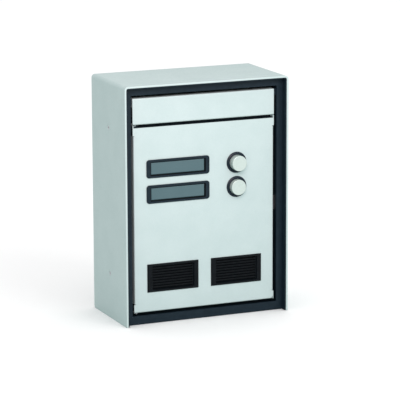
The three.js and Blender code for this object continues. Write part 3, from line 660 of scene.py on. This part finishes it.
def flap():
    """The flap's sheet, rolled back at the bottom and bent back at the top, with an ear at each end."""
    at = Limits("flap")
    roll, corner = 2.0, 1.5
    bottom_return, top_return = 7.0, 11.0
    face = at.height - roll - corner
    first = bottom_return - roll
    second = first + roll * pi / 2 + face
    bends = [(first, roll, 90), (second, corner, 90)]
    length = second + corner * pi / 2 + top_return - corner
    sheet = Solid("z")
    outline = rectangle(0, length, at.x0, at.x1, 0.6)
    sheet.plate(outline, [], 0, LEAF_SHEET, LEAF_EDGE)
    sheet.slice((1, 0, 0), bend_lines(bends))

    def place(u, v, w):
        y, z = fold(u, w, (at.y0 + bottom_return, at.z0), 180, bends)
        return Vector((v, y, z))

    sheet.reshape(place)
    ears = Solid("x")
    rod = Limits("flap_rod")
    for x in (at.x0, at.x1 - LEAF_SHEET):
        ear = polygon([
            (at.y0 + LEAF_SHEET, rod.z - 7.5, 1), (rod.y + 5, rod.z - 7.5, 3), (at.y1, rod.z - 2, 3),
            (at.y1, at.z1 - LEAF_SHEET, 2), (at.y0 + LEAF_SHEET, at.z1 - LEAF_SHEET),
        ])
        ears.plate(ear, [circle(rod.y, rod.z, rod.height / 2 + GAP, 24)], x, x + LEAF_SHEET, 0.2)
    join(sheet, ears)
    return stands_for("flap", sheet)


def join(whole, *parts):
    """Adds other solids' closed meshes to a solid."""
    for part in parts:
        spare = bpy.data.meshes.new("spare")
        part.mesh.to_mesh(spare)
        part.mesh.free()
        whole.mesh.from_mesh(spare)
        bpy.data.meshes.remove(spare)
    return whole


DOOR = {
    "body_half": 103.2,
    "lower_tab": 11.2,
    "upper_tab": 14.3,
    "side_return": 11.5,
    "end_return": 13.0,
    "side_bend": 1.6,
    "end_bend": 1.6,
    "relief": 0.8,
}


def door_leaf():
    """The door's sheet: flat tabs at its corners, bent back along its sides and ends."""
    at = Limits("door_panel")
    half, body = at.x1, DOOR["body_half"]
    side_bend, end_bend = DOOR["side_bend"], DOOR["end_bend"]
    side_flat = body - side_bend
    side_out = side_flat + side_bend * pi / 2 + DOOR["side_return"] - side_bend
    low_flat, high_flat = at.z0 + end_bend, at.z1 - end_bend
    end_run = end_bend * pi / 2 + DOOR["end_return"] - end_bend
    low_out, high_out = low_flat - end_run, high_flat + end_run
    low_tab, high_tab = at.z0 + DOOR["lower_tab"], at.z1 - DOOR["upper_tab"]
    relief = DOOR["relief"]
    right = [
        (body, low_out, 2), (body, low_flat), (body + relief - 0.3, at.z0), (half, at.z0, 0.5),
        (half, low_tab, 0.8), (side_flat, low_tab), (side_flat, low_tab + relief),
        (side_out, low_tab + relief, 1), (side_out, high_tab - relief, 1),
        (side_flat, high_tab - relief), (side_flat, high_tab), (half, high_tab, 0.8),
        (half, at.z1, 0.5), (body + relief - 0.3, at.z1), (body, high_flat), (body, high_out, 2),
    ]
    left = [(-corner[0], *corner[1:]) for corner in reversed(right)]
    pin = Limits("hinge_pin_lower")
    drop = pin.y - at.y0 - end_bend
    cutouts = []
    for row in ("upper", "lower"):
        cutouts.append(around(Limits("nameplate_window_" + row), PLATE_TUBE + GAP, 0.8))
        button = Limits("button_collar_" + row)
        cutouts.append(circle(button.x, button.z, BARREL + GAP))
    width, height = (size + 2 * GAP for size in GRILLE["body"])
    for side in ("speaker", "microphone"):
        opening = Limits(side + "_grille")
        cutouts.append(centred(opening.x, opening.z, width, height, 0.8))
    arc = end_bend * pi / 2
    for z in (low_flat - arc - drop, high_flat + arc + drop):
        cutouts.append(circle(pin.x, z, pin.width / 2 + GAP, 24))
    sheet = Solid("y")
    sheet.plate(polygon(left + right), cutouts, at.y0, at.y0 + LEAF_SHEET, LEAF_EDGE)
    steps = 6
    side_lines = [side_flat + side_bend * pi / 2 * step / steps for step in range(steps + 1)]
    sheet.slice((1, 0, 0), side_lines + [-x for x in side_lines])
    sheet.slice((0, 0, 1), [low_flat - arc * step / steps for step in range(steps + 1)])
    sheet.slice((0, 0, 1), [high_flat + arc * step / steps for step in range(steps + 1)])

    def bent(x, y, z):
        w = y - at.y0
        if low_tab < z < high_tab and abs(x) > side_flat:
            out, back = quarter(abs(x) - side_flat, w, side_bend)
            return Vector(((side_flat + out) * (1 if x > 0 else -1), at.y0 + back, z))
        if z < low_flat and abs(x) < body + 0.1:
            out, back = quarter(low_flat - z, w, end_bend)
            return Vector((x, at.y0 + back, low_flat - out))
        if z > high_flat and abs(x) < body + 0.1:
            out, back = quarter(z - high_flat, w, end_bend)
            return Vector((x, at.y0 + back, high_flat + out))
        return Vector((x, y, z))

    sheet.reshape(bent)
    return stands_for("door_panel", sheet)


def quarter(along, inward, radius):
    """How far out and back a point lies, past the start of a right-angled bend."""
    angle = min(along / radius, pi / 2)
    straight = max(along - radius * pi / 2, 0)
    out = (radius - inward) * sin(angle)
    back = radius - (radius - inward) * cos(angle) + straight
    return out, back


# ---- Name plates ---------------------------------------------------------------------------------

PLATE_TUBE = 2.5  # how far the bezel's tube reaches out past the window
LEDGE = 1.1  # depth of the bezel's ledge behind its front face, painted deep_black as painted shade


def name_plate(row):
    """A frame whose inner step leads down to the window; the step's ledge and throat are painted deep_black
    as painted shade of the recess.
    """
    bezel = Limits("nameplate_bezel_" + row)
    window = Limits("nameplate_window_" + row)
    outline = around(bezel, 0, 4, 8)
    opening = around(window, GAP, 0.4, 3)
    tube = around(window, PLATE_TUBE, 0.6, 3)
    seat = Limits("door_panel").y0 - GAP
    whole = Solid("y")
    rim = [(0.7, bezel.y0), (0.32, bezel.y0 + 0.06), (0.08, bezel.y0 + 0.25), (0, bezel.y0 + 0.6), (0, seat)]
    front, foot = whole.wall(outline, rim)
    step = rectangle(window.x0 - 1.7, window.x1 + 1.7, window.z0 - 1.6, window.z1 + 1.4, 0.9, 3)
    lip = [(0.15, bezel.y0), (0, bezel.y0 + 0.15), (-0.15, bezel.y0 + LEDGE)]
    mouth, ledge = whole.wall(hole(step), [(-i, w) for i, w in lip])
    whole.cap(front, mouth)
    # painted shade: the ledge and the throat behind it take the deep_black slot, darker than the bezel's
    # face, to stand in for the shade in the recess
    whole.coat = 1
    throat = [(-0.15, bezel.y0 + LEDGE), (0, bezel.y0 + LEDGE + 0.15), (0, bezel.y1)]
    inner, end = whole.wall(opening, throat)
    whole.cap(ledge, inner)
    whole.coat = 0
    outer_end, outer_root = whole.wall(tube, [(0.3, bezel.y1), (0, bezel.y1 - 0.3), (0, seat)])
    whole.cap(end, outer_end)
    whole.cap(foot, outer_root)
    stands_for("nameplate_bezel_" + row, whole, ["deep_black"])

    pane = Solid("y")
    profile = [(0.75, window.y0), (0.45, window.y0 + 0.08), (0, window.y0 + 0.5)]
    profile += [(0, window.y1 - 0.1), (0.1, window.y1)]
    near, far = pane.wall(around(window, 0, 0.3, 3), profile)
    pane.cap(near)
    pane.cap(far)
    stands_for("nameplate_window_" + row, pane)
    refine("name_card_" + row, 0.1)
    refine("light_guide_" + row, 0.3)


# ---- Push buttons --------------------------------------------------------------------------------

BARREL = 12.2  # radius of the collar's threaded barrel
BORE = 10.9  # radius inside the collar
STEM_HOLE = 3.9  # radius of the hole for the cap's stem
CAP_STEM = 3.4  # radius of the cap's stem
CAP_WALL = 1.6
COLLAR_FLOOR = 7.7  # from the collar's floor to its back end
CAP_SKIRT_END = 21.5  # how far behind the hood's front edge the cap's skirt ends
CAP_ROOF = 9.0  # from the cap's face to the inside of the skirt


def threaded(profile, radius, start, end, pitch, depth):
    """Adds thread ridges along a profile."""
    count = int((end - start) / pitch)
    for turn in range(count):
        profile.append((radius, start + pitch * (turn + 0.1)))
        profile.append((radius - depth, start + pitch * (turn + 0.55)))
    profile.append((radius, start + pitch * count))


def button_collar(row):
    at = Limits("button_collar_" + row)
    outer = at.width / 2
    bore, barrel = BORE, BARREL
    front = at.y0
    seat = Limits("door_panel").y0 - GAP
    floor = at.y1 - COLLAR_FLOOR
    profile = [
        (bore, front + 0.45), (bore + 0.12, front + 0.16), (bore + 0.42, front),
        (barrel + 0.1, front + 0.02), (barrel + 0.7, front + 0.3), (outer - 0.7, front + 0.92),
        (outer - 0.2, front + 1.15), (outer, front + 1.5), (outer, seat), (barrel, seat),
    ]
    threaded(profile, barrel, seat + 3, at.y1 - 1.2, 1.0, 0.5)
    profile += [
        (barrel - 0.6, at.y1), (barrel - 2, at.y1), (barrel - 2, floor + 2), (STEM_HOLE, floor + 2),
        (STEM_HOLE, floor), (bore, floor),
    ]
    return turned("button_collar_" + row, profile, 96, closed=True)


def button_cap(row):
    """A cap whose face is dished a little inside a rounded rim, with a stem down its middle."""
    at = Limits("button_cap_" + row)
    outer = at.width / 2
    front = at.y0
    skirt = CASE.y0 + CAP_SKIRT_END
    roof = front + CAP_ROOF
    profile = [
        (0.3, front + 0.22), (5, front + 0.2), (8.2, front + 0.12), (9.1, front + 0.03), (9.6, front),
        (outer - 0.55, front + 0.03), (outer - 0.22, front + 0.16), (outer - 0.05, front + 0.4),
        (outer, front + 0.75), (outer, skirt - 0.3), (outer - 0.3, skirt), (outer - CAP_WALL, skirt),
        (outer - CAP_WALL, roof), (CAP_STEM, roof), (CAP_STEM, at.y1 - 0.4), (CAP_STEM - 0.4, at.y1),
    ]
    return turned("button_cap_" + row, profile, 96)


def button_nut(row):
    """A hexagon nut with its corners turned off."""
    at = Limits("button_nut_" + row)
    across = max(at.width, at.height) / 2
    flat_turn = 0 if at.width > at.height else pi / 6
    bore = BARREL + GAP
    nut = Solid("y")
    hexagon = circle(at.x, at.z, across, 6, flat_turn)
    lower, upper = nut.wall(hexagon, [(1.1, at.y0), (0, at.y0 + 0.7), (0, at.y1 - 0.7), (1.1, at.y1)])
    thread = [(0.4, at.y0), (0, at.y0 + 0.4), (0, at.y1 - 0.4), (0.4, at.y1)]
    inner_lower, inner_upper = nut.wall(circle(at.x, at.z, bore), [(-r, w) for r, w in thread])
    nut.cap(lower, inner_lower)
    nut.cap(upper, inner_upper)
    return stands_for("button_nut_" + row, nut)


SPRING_WIRE = 0.55
SPRING_TURNS = 6


def button_spring(row):
    """A coil with closed ends. It is taken off the door's body and its points are left in world space."""
    at = Limits("button_spring_" + row)
    coil_radius = at.width / 2 - 0.7
    front, back = at.y0 + SPRING_WIRE, at.y1 - SPRING_WIRE
    turns, sides, steps = SPRING_TURNS, 10, 28
    count = turns * steps
    wound = 2 * pi * turns * coil_radius
    spring = Solid("y")
    rings = []
    for i in range(count + 1):
        share = i / count
        angle = 2 * pi * turns * share
        flat = min(share, 1 - share) * turns
        ease = min(flat / 0.9, 1)
        rise = share + (0.5 - share) * 0.12 * (ease - 1)
        out = Vector((cos(angle), 0, sin(angle)))
        along = Vector((-sin(angle) * wound, back - front, cos(angle) * wound))
        across = along.normalized().cross(out)
        centre = Vector((at.x, front + (back - front) * rise, at.z)) + out * coil_radius
        ring = []
        for side in range(sides):
            a = 2 * pi * side / sides
            ring.append(spring.mesh.verts.new(centre + (out * cos(a) + across * sin(a)) * SPRING_WIRE))
        rings.append(ring)
    for a, b in zip(rings, rings[1:]):
        spring.bridge(a, b)
    spring.face(rings[0])
    spring.face(rings[-1])
    made = piece("button_spring_" + row + "_fine", spring, "steel", "door")
    made.parent = None
    del made["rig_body"]
    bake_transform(made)
    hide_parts("button_spring_" + row)
    return made


def button_switch(row):
    """The switch behind a button: a ribbed round body with two solder tags."""
    at = Limits("button_switch_" + row)
    radius = at.width / 2
    front, back = at.y0, at.y1 - 4
    profile = [(radius - 1, front), (radius, front + 0.5), (radius, front + 3), (radius - 0.6, front + 3.3)]
    profile += [(radius - 0.6, back - 3), (radius, back - 2.7), (radius, back - 0.6), (radius - 0.6, back)]
    turned("button_switch_" + row, profile)
    tags = Solid("x")
    for x in (at.x - 5, at.x + 5):
        outline = polygon([
            (back - 0.2, at.z - 2.4), (at.y1 - 1, at.z - 2.4, 0.8), (at.y1, at.z - 1, 0.8),
            (at.y1, at.z + 1, 0.8), (at.y1 - 1, at.z + 2.4, 0.8), (back - 0.2, at.z + 2.4),
        ])
        tags.plate(outline, [circle(at.y1 - 1.9, at.z, 0.8, 16)], x - 0.4, x + 0.4, 0.1)
    piece("button_switch_tags_" + row, tags, "steel", "door")


# ---- Speech grilles ------------------------------------------------------------------------------

GRILLE = {
    "chamfer": 1.4,
    "field": (60.2, 31.7),
    "body": (70.0, 34.6),
    "field_depth": 2.6,
    "slots": 9,
    "pitch": 3.75,
    "slot": 1.8,
}


def grille(node):
    """A chamfered frame round a sunken field of louvre bars, between blind slots whose floors are painted
    deep_black as painted shade of the depth behind them.
    """
    at = Limits(node)
    seat = Limits("door_panel").y0 - GAP
    sunk = at.y0 + GRILLE["field_depth"]
    whole = Solid("y")
    c = GRILLE["chamfer"]
    rim = [(c + 0.1, at.y0), (c - 0.1, at.y0 + 0.08), (0.1, at.y0 + c - 0.1)]
    rim += [(0, at.y0 + c + 0.1), (0, seat)]
    front, foot = whole.wall(around(at, 0, 0.6, 4), rim)
    field = centred(at.x, at.z, *GRILLE["field"], 0.8, 3)
    slope = [(1.2, at.y0), (1.0, at.y0 + 0.1), (0.1, sunk - 0.4), (0, sunk)]
    mouth, floor = whole.wall(field, [(-inset, w) for inset, w in slope])
    whole.cap(front, mouth)
    slots = []
    slot_width = GRILLE["field"][0] - 1.2
    for i in range(GRILLE["slots"]):
        z = at.z + GRILLE["pitch"] * (i - (GRILLE["slots"] - 1) / 2)
        opening = centred(at.x, z, slot_width, GRILLE["slot"], 0.5, 2)
        blade = [(0.35, sunk), (0.1, sunk + 0.12), (0, sunk + 0.4), (0, at.y1 - GAP)]
        slots.append(whole.wall(opening, [(-inset, w) for inset, w in blade]))
    whole.cap(floor, *[first for first, last in slots])
    # painted shade: the blind slots' floors take the deep_black slot to stand in for the dark depth behind
    # the louvres
    whole.coat = 1
    for first, last in slots:
        whole.cap(last)
    whole.coat = 0
    body = centred(at.x, at.z, *GRILLE["body"], 0.8, 3)
    outer_end, outer_root = whole.wall(body, [(0.3, at.y1), (0, at.y1 - 0.3), (0, seat)])
    whole.cap(outer_end)
    whole.cap(foot, outer_root)
    return stands_for(node, whole, ["deep_black"])


# ---- Loudspeaker and microphone ------------------------------------------------------------------


def loudspeaker():
    basket = Limits("speaker_basket")
    gasket = Limits("speaker_gasket")
    cone = Limits("speaker_cone")
    magnet = Limits("speaker_magnet")
    x, z = basket.x, basket.z
    outer = gasket.width / 2
    inner = outer - 4
    ring = [(inner, gasket.y0), (outer, gasket.y0), (outer, gasket.y1), (inner, gasket.y1)]
    soft = []
    for radius, y in ring:
        out = 1 if radius == outer else -1
        way = 1 if y == gasket.y1 else -1
        near = [(radius - out * 0.3, y), (radius, y - way * 0.3)]
        soft += near if (out == 1) == (way == -1) else reversed(near)
    stands_for("speaker_gasket", Solid("y").turn(x, z, soft, 64, closed=True))

    y0, y1 = basket.y0, basket.y1
    shell = [
        (inner, y0 + 0.2), (inner + 0.2, y0), (outer - 0.3, y0), (outer, y0 + 0.3), (outer, y0 + 1),
        (outer - 0.3, y0 + 1.3), (inner + 1.8, y0 + 1.4), (inner + 1.2, y0 + 2.2), (13.4, y1 - 1),
        (12.4, y1), (6, y1), (6, y1 - 1.2), (11.8, y1 - 1.2), (12.6, y1 - 2), (inner - 0.3, y0 + 2),
    ]
    stands_for("speaker_basket", Solid("y").turn(x, z, shell, 64, closed=True))

    rim = cone.width / 2
    front = [(0.3, cone.y1 - 3.2), (2.6, cone.y1 - 2.7), (4.6, cone.y1 - 1.6), (5.4, cone.y1 - 0.6)]
    front += [(rim - 4.6, cone.y0 + 2.2), (rim - 4.2, cone.y0 + 1.4)]
    angles = [pi * (1 - step / 8) for step in range(9)]
    roll = [(rim - 2.3 + 1.9 * cos(a), cone.y0 + 1.2 - 1.1 * sin(a)) for a in angles]
    back = [(r, y + 0.5) for r, y in reversed(front + roll)]
    stands_for("speaker_cone", Solid("y").turn(x, z, front + roll + back, 64))

    m = magnet.width / 2
    profile = [
        (m - 0.6, magnet.y0), (m, magnet.y0 + 0.4), (m, magnet.y0 + 2.2), (m - 1.0, magnet.y0 + 2.3),
        (m - 1.0, magnet.y1 - 2.3), (m, magnet.y1 - 2.2), (m, magnet.y1 - 0.5), (m - 0.5, magnet.y1),
        (2, magnet.y1), (1.8, magnet.y1 - 1.5),
    ]
    stands_for("speaker_magnet", Solid("y").turn(x, z, profile, 64))


def microphone():
    boot = Limits("microphone_boot")
    capsule = Limits("microphone_capsule")
    x, z = boot.x, boot.z
    outer, bore = boot.width / 2, capsule.width / 2 + GAP
    profile = [
        (bore, boot.y0 + 0.3), (bore + 0.3, boot.y0), (outer - 0.5, boot.y0), (outer, boot.y0 + 0.5),
        (outer, boot.y0 + 3), (outer - 1, boot.y0 + 3.6), (outer - 1, boot.y1 - 3.6),
        (outer, boot.y1 - 3), (outer, boot.y1 - 0.6), (outer - 0.6, boot.y1), (1, boot.y1),
    ]
    shell = Solid("y")
    first, last = shell.wall(circle(x, z, 0), [(-r, w) for r, w in profile])
    shell.cap(last)
    floor = boot.y1 - 2.7
    mouth, bottom = shell.wall(circle(x, z, 0), [(-bore, boot.y0 + 0.3), (-bore, floor)])
    shell.cap(bottom)
    bmesh.ops.remove_doubles(shell.mesh, verts=shell.mesh.verts, dist=1e-4)
    stands_for("microphone_boot", shell)
    r = capsule.width / 2
    can = [(1, capsule.y0 + 0.3), (1.2, capsule.y0), (r - 0.4, capsule.y0), (r, capsule.y0 + 0.4)]
    can += [(r, capsule.y1 - 0.3), (r - 0.3, capsule.y1)]
    stands_for("microphone_capsule", Solid("y").turn(x, z, can, 48))


# ---- Boards --------------------------------------------------------------------------------------


def chip(name, x, y, z, width, height, thick, legs, body):
    """A moulded package lying on a board's back face at depth y, with bent legs along two sides."""
    package = Solid("y")
    outline = centred(x, z, width, height, 0.3, 2)
    near, far = package.wall(outline, [(0.3, y + 0.2), (0, y + 0.2 + thick / 2), (0.3, y + thick)])
    mark = circle(x - width / 2 + 1.5, z + height / 2 - 1.5, 0.6, 16)
    dot, floor = package.wall(mark, [(0, y + thick), (0, y + thick - 0.15)])
    package.cap(near)
    package.cap(far, dot)
    package.cap(floor)
    pins = Solid("y")
    pitch = height / legs
    for i in range(legs):
        pin_z = z + pitch * (i - (legs - 1) / 2)
        for side in (-1, 1):
            inner, outer = x + side * (width / 2 - 0.2), x + side * (width / 2 + 0.9)
            foot = x + side * (width / 2 + 0.35)
            across = (pin_z - 0.3, pin_z + 0.3)
            half = y + thick / 2
            pins.block(sorted((inner, outer)), (half, half + 0.25), across, 0.06)
            pins.block(sorted((foot, outer)), (y, half), across, 0.06)
    piece(name + "_legs", pins, "steel", body)
    return package


def resistors(name, places, y, body):
    """Small chip resistors: a dark tile between two bright ends."""
    tiles, ends = Solid("y"), Solid("y")
    for x, z in places:
        tiles.block((x - 1.1, x + 1.1), (y, y + 0.9), (z - 0.95, z + 0.95), 0.12)
        for side in (-1, 1):
            ends.block(sorted((x + side * 1.12, x + side * 1.75)), (y, y + 0.95), (z - 1, z + 1), 0.12)
    piece(name, tiles, "deep_black", body)
    piece(name + "_ends", ends, "steel", body)


def pads(name, places, y, radius, body):
    """Solder domes."""
    domes = Solid("y")
    for x, z in places:
        profile = [(radius, y), (radius * 0.9, y + radius * 0.35), (radius * 0.55, y + radius * 0.75)]
        profile.append((radius * 0.15, y + radius * 0.9))
        domes.turn(x, z, profile, 14)
    piece(name, domes, "steel", body)


def spacer_places():
    return [(Limits(f"board_spacer_{i}").x, Limits(f"board_spacer_{i}").z) for i in range(1, 5)]


def main_board():
    at = Limits("main_board")
    corners = spacer_places()
    face = Solid("y")
    outline = around(at, 0, 2.5)
    face.plate(outline, [circle(x, z, 1.7, 24) for x, z in corners], at.y0, at.y1, 0.15)
    stands_for("main_board", face)
    for i in range(1, 5):
        post = Limits(f"board_spacer_{i}")
        hexagon = circle(post.x, post.z, post.width / 2, 6)
        body = Solid("y")
        near, far = body.wall(hexagon, rounded_edge(post.y0, post.y1, 0.3, 2))
        body.cap(near)
        body.cap(far)
        stands_for(f"board_spacer_{i}", body)
    heads = Solid("y")
    for x, z in corners:
        y = at.y1
        rim = [(-2.7, y + 0.05), (-2.8, y + 0.5), (-2.5, y + 1.2), (-1.7, y + 1.6)]
        base, top = heads.wall(circle(x, z, 0, 32), rim)
        slot = centred(x, z, 2.6, 0.6, 0.1, 2)
        mouth, floor = heads.wall(slot, [(0, y + 1.6), (0.05, y + 0.8)])
        heads.cap(top, mouth)
        heads.cap(floor)
        heads.cap(base)
    piece("board_screws", heads, "steel", "door")
    back = at.y1
    names = [(at.x + 4 + 4 * i, at.z - 6 - 5 * (i % 2)) for i in range(5)]
    names += [(at.x - 50 + 7 * i, at.z + 12) for i in range(6)]
    names += [(at.x + 30 + 5 * i, at.z + 18) for i in range(4)]
    resistors("board_resistors", names, back, "door")
    pads("board_joints", [(at.x - 52 + 8 * i, at.z - 12.5) for i in range(6)], back, 1.1, "door")
    relay = Solid("y").block((at.x - 36, at.x - 18), (back + 0.2, back + 9), (at.z - 4, at.z + 8), 0.6)
    piece("board_relay", relay, "deep_black", "door")
    coils = Solid("y")
    for x, z in ((at.x + 52, at.z + 6), (at.x + 30, at.z - 18)):
        can = [(3.6, back), (4, back + 0.4), (4, back + 6.4), (3.7, back + 6.9), (3.2, back + 7)]
        coils.turn(x, z, can, 32)
    piece("board_capacitors_small", coils, "deep_black", "door")


def board_parts():
    at = Limits("speech_chip")
    thick = at.depth + GAP
    package = chip("speech_chip", at.x, at.y0 - GAP, at.z, at.width, at.height, thick, 10, "door")
    stands_for("speech_chip", package)
    can = Limits("supply_capacitor")
    r = can.width / 2
    y0, y1 = can.y0, can.y1
    profile = [(r - 0.4, y0), (r, y0 + 0.4), (r, y0 + 1.6), (r - 0.5, y0 + 2.1), (r, y0 + 2.6), (r, y1 - 0.6)]
    profile += [(r - 0.5, y1 - 0.05), (r - 1.2, y1 - 0.05), (r - 1.5, y1 - 0.3)]
    turned("supply_capacitor", profile)
    plug = Limits("board_connector")
    terminals("board_connector", plug, 6, 8.0, 2.0, plug.y1 - 3.6, "door")


def terminals(node, at, ways, pitch, screw, floor, body):
    """A row of screw terminals that face back or front, with a slotted screw in each well."""
    outward = 1 if body == "door" else -1
    face = at.y1 if outward == 1 else at.y0
    foot = at.y0 if outward == 1 else at.y1
    block = Solid("y")
    outline = around(at, 0, 0.8)
    edge = [(0.5, face), (0.12, face - outward * 0.12), (0, face - outward * 0.5), (0, foot)]
    front, back = block.wall(outline, edge)
    centres = [(at.x + pitch * (i - (ways - 1) / 2), at.z) for i in range(ways)]
    wells = []
    for x, z in centres:
        well = [(-0.25, face), (0, face - outward * 0.25), (0, floor)]
        mouth, bottom = block.wall(circle(x, z, screw, 28), well)
        wells.append(mouth)
        block.cap(bottom)
    block.cap(front, *wells)
    block.cap(back)
    stands_for(node, block)
    heads = Solid("y")
    for x, z in centres:
        base = floor + outward * 0.05
        top = base + outward * 1.2
        rim = [(-(screw - 0.25), base), (-(screw - 0.25), top - outward * 0.3), (-(screw - 0.6), top)]
        low, high = heads.wall(circle(x, z, 0, 28), rim)
        slot = centred(x, z, 2 * screw - 1.6, 0.6, 0.1, 2)
        mouth, deep = heads.wall(slot, [(0, top), (0.04, top - outward * 0.7)])
        heads.cap(high, mouth)
        heads.cap(deep)
        heads.cap(low)
    piece(node + "_screws", heads, "steel", body)


def lamp_board():
    at = Limits("nameplate_lamp_board")
    inset = 3.5
    corners = [(x, z) for x in (at.x0 + inset, at.x1 - inset) for z in (at.z0 + inset, at.z1 - inset)]
    holes = [circle(x, z, 1.5, 20) for x, z in corners]
    face = Solid("y").plate(around(at, 0, 2), holes, at.y0, at.y1, 0.15)
    stands_for("nameplate_lamp_board", face)
    joints = []
    for row in ("upper", "lower"):
        guide = Limits("light_guide_" + row)
        for i in range(5):
            x = guide.x + 15 * (i - 2)
            joints += [(x - 1.3, guide.z), (x + 1.3, guide.z)]
    pads("lamp_joints", joints, at.y1, 0.9, "door")
    resistors("lamp_resistors", [(at.x + 15 * (i - 2), at.z) for i in range(5)], at.y1, "door")


# ---- Case: frame, box, hinge and catch -----------------------------------------------------------


def case_back():
    """The box, the front frame and its screws keep their CAD shape. The grommet is turned."""
    refine("box_body", 0.35)
    refine("front_frame", 0.35)
    for side in ("left", "right"):
        for row in ("lower", "upper"):
            refine(f"frame_screw_{side}_{row}", 0.15)
    ring = Limits("cable_grommet")
    outer, neck, bore = ring.width / 2, 15 - GAP, 7
    y0, y1 = ring.y0, ring.y1
    profile = [
        (bore, y0 + 0.8), (bore + 0.5, y0 + 0.1), (bore + 1.2, y0), (outer - 0.9, y0),
        (outer - 0.2, y0 + 0.4), (outer, y0 + 1.1), (outer, y0 + 3.6), (outer - 0.4, y0 + 4),
        (neck, y0 + 4), (neck, y1 - 0.2), (neck - 0.2, y1), (bore + 3, y1), (bore + 1.2, y1 - 0.8),
        (bore, y1 - 1.2),
    ]
    turned("cable_grommet", profile, 72, closed=True)


def case_terminals():
    rail = Limits("terminal_rail")
    plate = Solid("y")
    slots = [centred(x, rail.z, 5.2, 3.2, 1.5) for x in (rail.x0 + 4.5, rail.x1 - 4.5)]
    plate.plate(around(rail, 0, 1), slots, rail.y0, rail.y1, 0.25)
    stands_for("terminal_rail", plate)
    block = Limits("terminal_block")
    terminals("terminal_block", block, 6, 12.0, 2.6, block.y0 + 5, "wall_case")


def round_pin(node, axis, radius, ends=0.5):
    """A turned pin with chamfered ends, lying along an axis."""
    at = Limits(node)
    limits = {"x": (at.y, at.z, at.x0, at.x1), "z": (at.x, at.y, at.z0, at.z1)}[axis]
    u, v, low, high = limits
    profile = [(radius - ends, low), (radius, low + ends), (radius, high - ends), (radius - ends, high)]
    return stands_for(node, Solid(axis).turn(u, v, profile, 32))


def hinges_and_catch():
    round_pin("hinge_pin_upper", "z", 2.0)
    round_pin("hinge_pin_lower", "z", 2.0)
    round_pin("flap_rod", "x", 1.5, 0.4)
    for side in ("left", "right"):
        at = Limits("flap_buffer_" + side)
        r = at.width / 2
        profile = [(r * 0.45, at.y0), (r * 0.8, at.y0 + 0.35), (r, at.y0 + 1.1), (r, at.y1)]
        turned("flap_buffer_" + side, profile, 32)
    strike = Limits("door_strike")
    sheet, bend = 1.2, 1.8
    foot, face = strike.depth - bend, strike.width - bend
    bends = [(foot, bend, 90)]
    length = foot + bend * pi / 2 + face
    angle = Solid("z")
    angle.plate(rectangle(0, length, strike.z0, strike.z1, 1.2), [], 0, sheet, 0.2)
    angle.slice((1, 0, 0), bend_lines(bends, 6))

    def place(u, v, w):
        back, out = fold(u, w, (strike.y0, -strike.x1), 0, bends)
        return Vector((-out, back, v))

    angle.reshape(place)
    stands_for("door_strike", angle)
    magnet = Limits("catch_magnet")
    body = Solid("y").block((magnet.x0, magnet.x1), (magnet.y0 + 0.4, magnet.y1), (magnet.z0, magnet.z1), 0.5)
    stands_for("catch_magnet", body)
    poles = Solid("y")
    for x in (magnet.x0 + 2.5, magnet.x1 - 5.5):
        poles.block((x, x + 1.4), (magnet.y0, magnet.y0 + 3), (magnet.z0 + 1.5, magnet.z1 - 1.5), 0.15)
    piece("catch_poles", poles, "steel", "wall_case")


# ---- Floor, light and background -----------------------------------------------------------------


def studio():
    floor_mesh = bmesh.new()
    reach = 9.0
    signs = ((-1, -1), (1, -1), (1, 1), (-1, 1))
    floor_mesh.faces.new([floor_mesh.verts.new((x * reach, y * reach, 0)) for x, y in signs])
    data = bpy.data.meshes.new("floor")
    floor_mesh.to_mesh(data)
    floor = bpy.data.objects.new("floor", data)
    bpy.context.scene.collection.objects.link(floor)
    pale = Finish("floor", Roughness=0.9)
    pale.shader.inputs["Specular IOR Level"].default_value = 0.1
    pale.colour(pale.noise(400, 2), (0.965, 0.965, 0.968), (0.98, 0.98, 0.98))
    data.materials.append(pale.material)

    world = bpy.data.worlds.new("studio")
    bpy.context.scene.world = world
    world.use_nodes = True
    background = world.node_tree.nodes["Background"]
    background.inputs["Color"].default_value = (1.0, 1.0, 1.0, 1)
    background.inputs["Strength"].default_value = 1.03

    softbox("fill", (0.9, -2.4, 1.7), 1.6, 24, (1.0, 1.0, 1.0))
    key = softbox("key", (-0.24, -0.88, 0.72), 0.5, 13.5, (1.0, 0.73, 0.76))
    lit = bpy.data.collections.new("lit_by_key")
    for each in bpy.context.scene.objects:
        if each.type == "MESH" and each != floor:
            lit.objects.link(each)
    key.light_linking.receiver_collection = lit
    bpy.context.scene.view_settings.view_transform = "Standard"
    bpy.context.scene.view_settings.look = "None"


def softbox(name, place, size, power, colour):
    """A square light that faces the middle of the object."""
    data = bpy.data.lights.new(name, "AREA")
    data.size = size
    data.energy = power
    data.color = colour
    light = bpy.data.objects.new(name, data)
    bpy.context.scene.collection.objects.link(light)
    light.location = place
    light.visible_camera = False
    aim = Vector((CASE.x, CASE.y0, CASE.z)) * MM - light.location
    light.rotation_mode = "QUATERNION"
    light.rotation_quaternion = aim.to_track_quat("-Z", "Y")
    return light


# ---- Everything ----------------------------------------------------------------------------------

add_camera()
hood()
for screw_name in HOOD_SCREWS:
    hood_screw(screw_name)
case_back()
case_terminals()
hinges_and_catch()
flap()
door_leaf()
for row_name in ("upper", "lower"):
    name_plate(row_name)
    button_collar(row_name)
    button_cap(row_name)
    button_nut(row_name)
    button_spring(row_name)
    button_switch(row_name)
grille("speaker_grille")
grille("microphone_grille")
loudspeaker()
microphone()
main_board()
board_parts()
lamp_board()
studio()
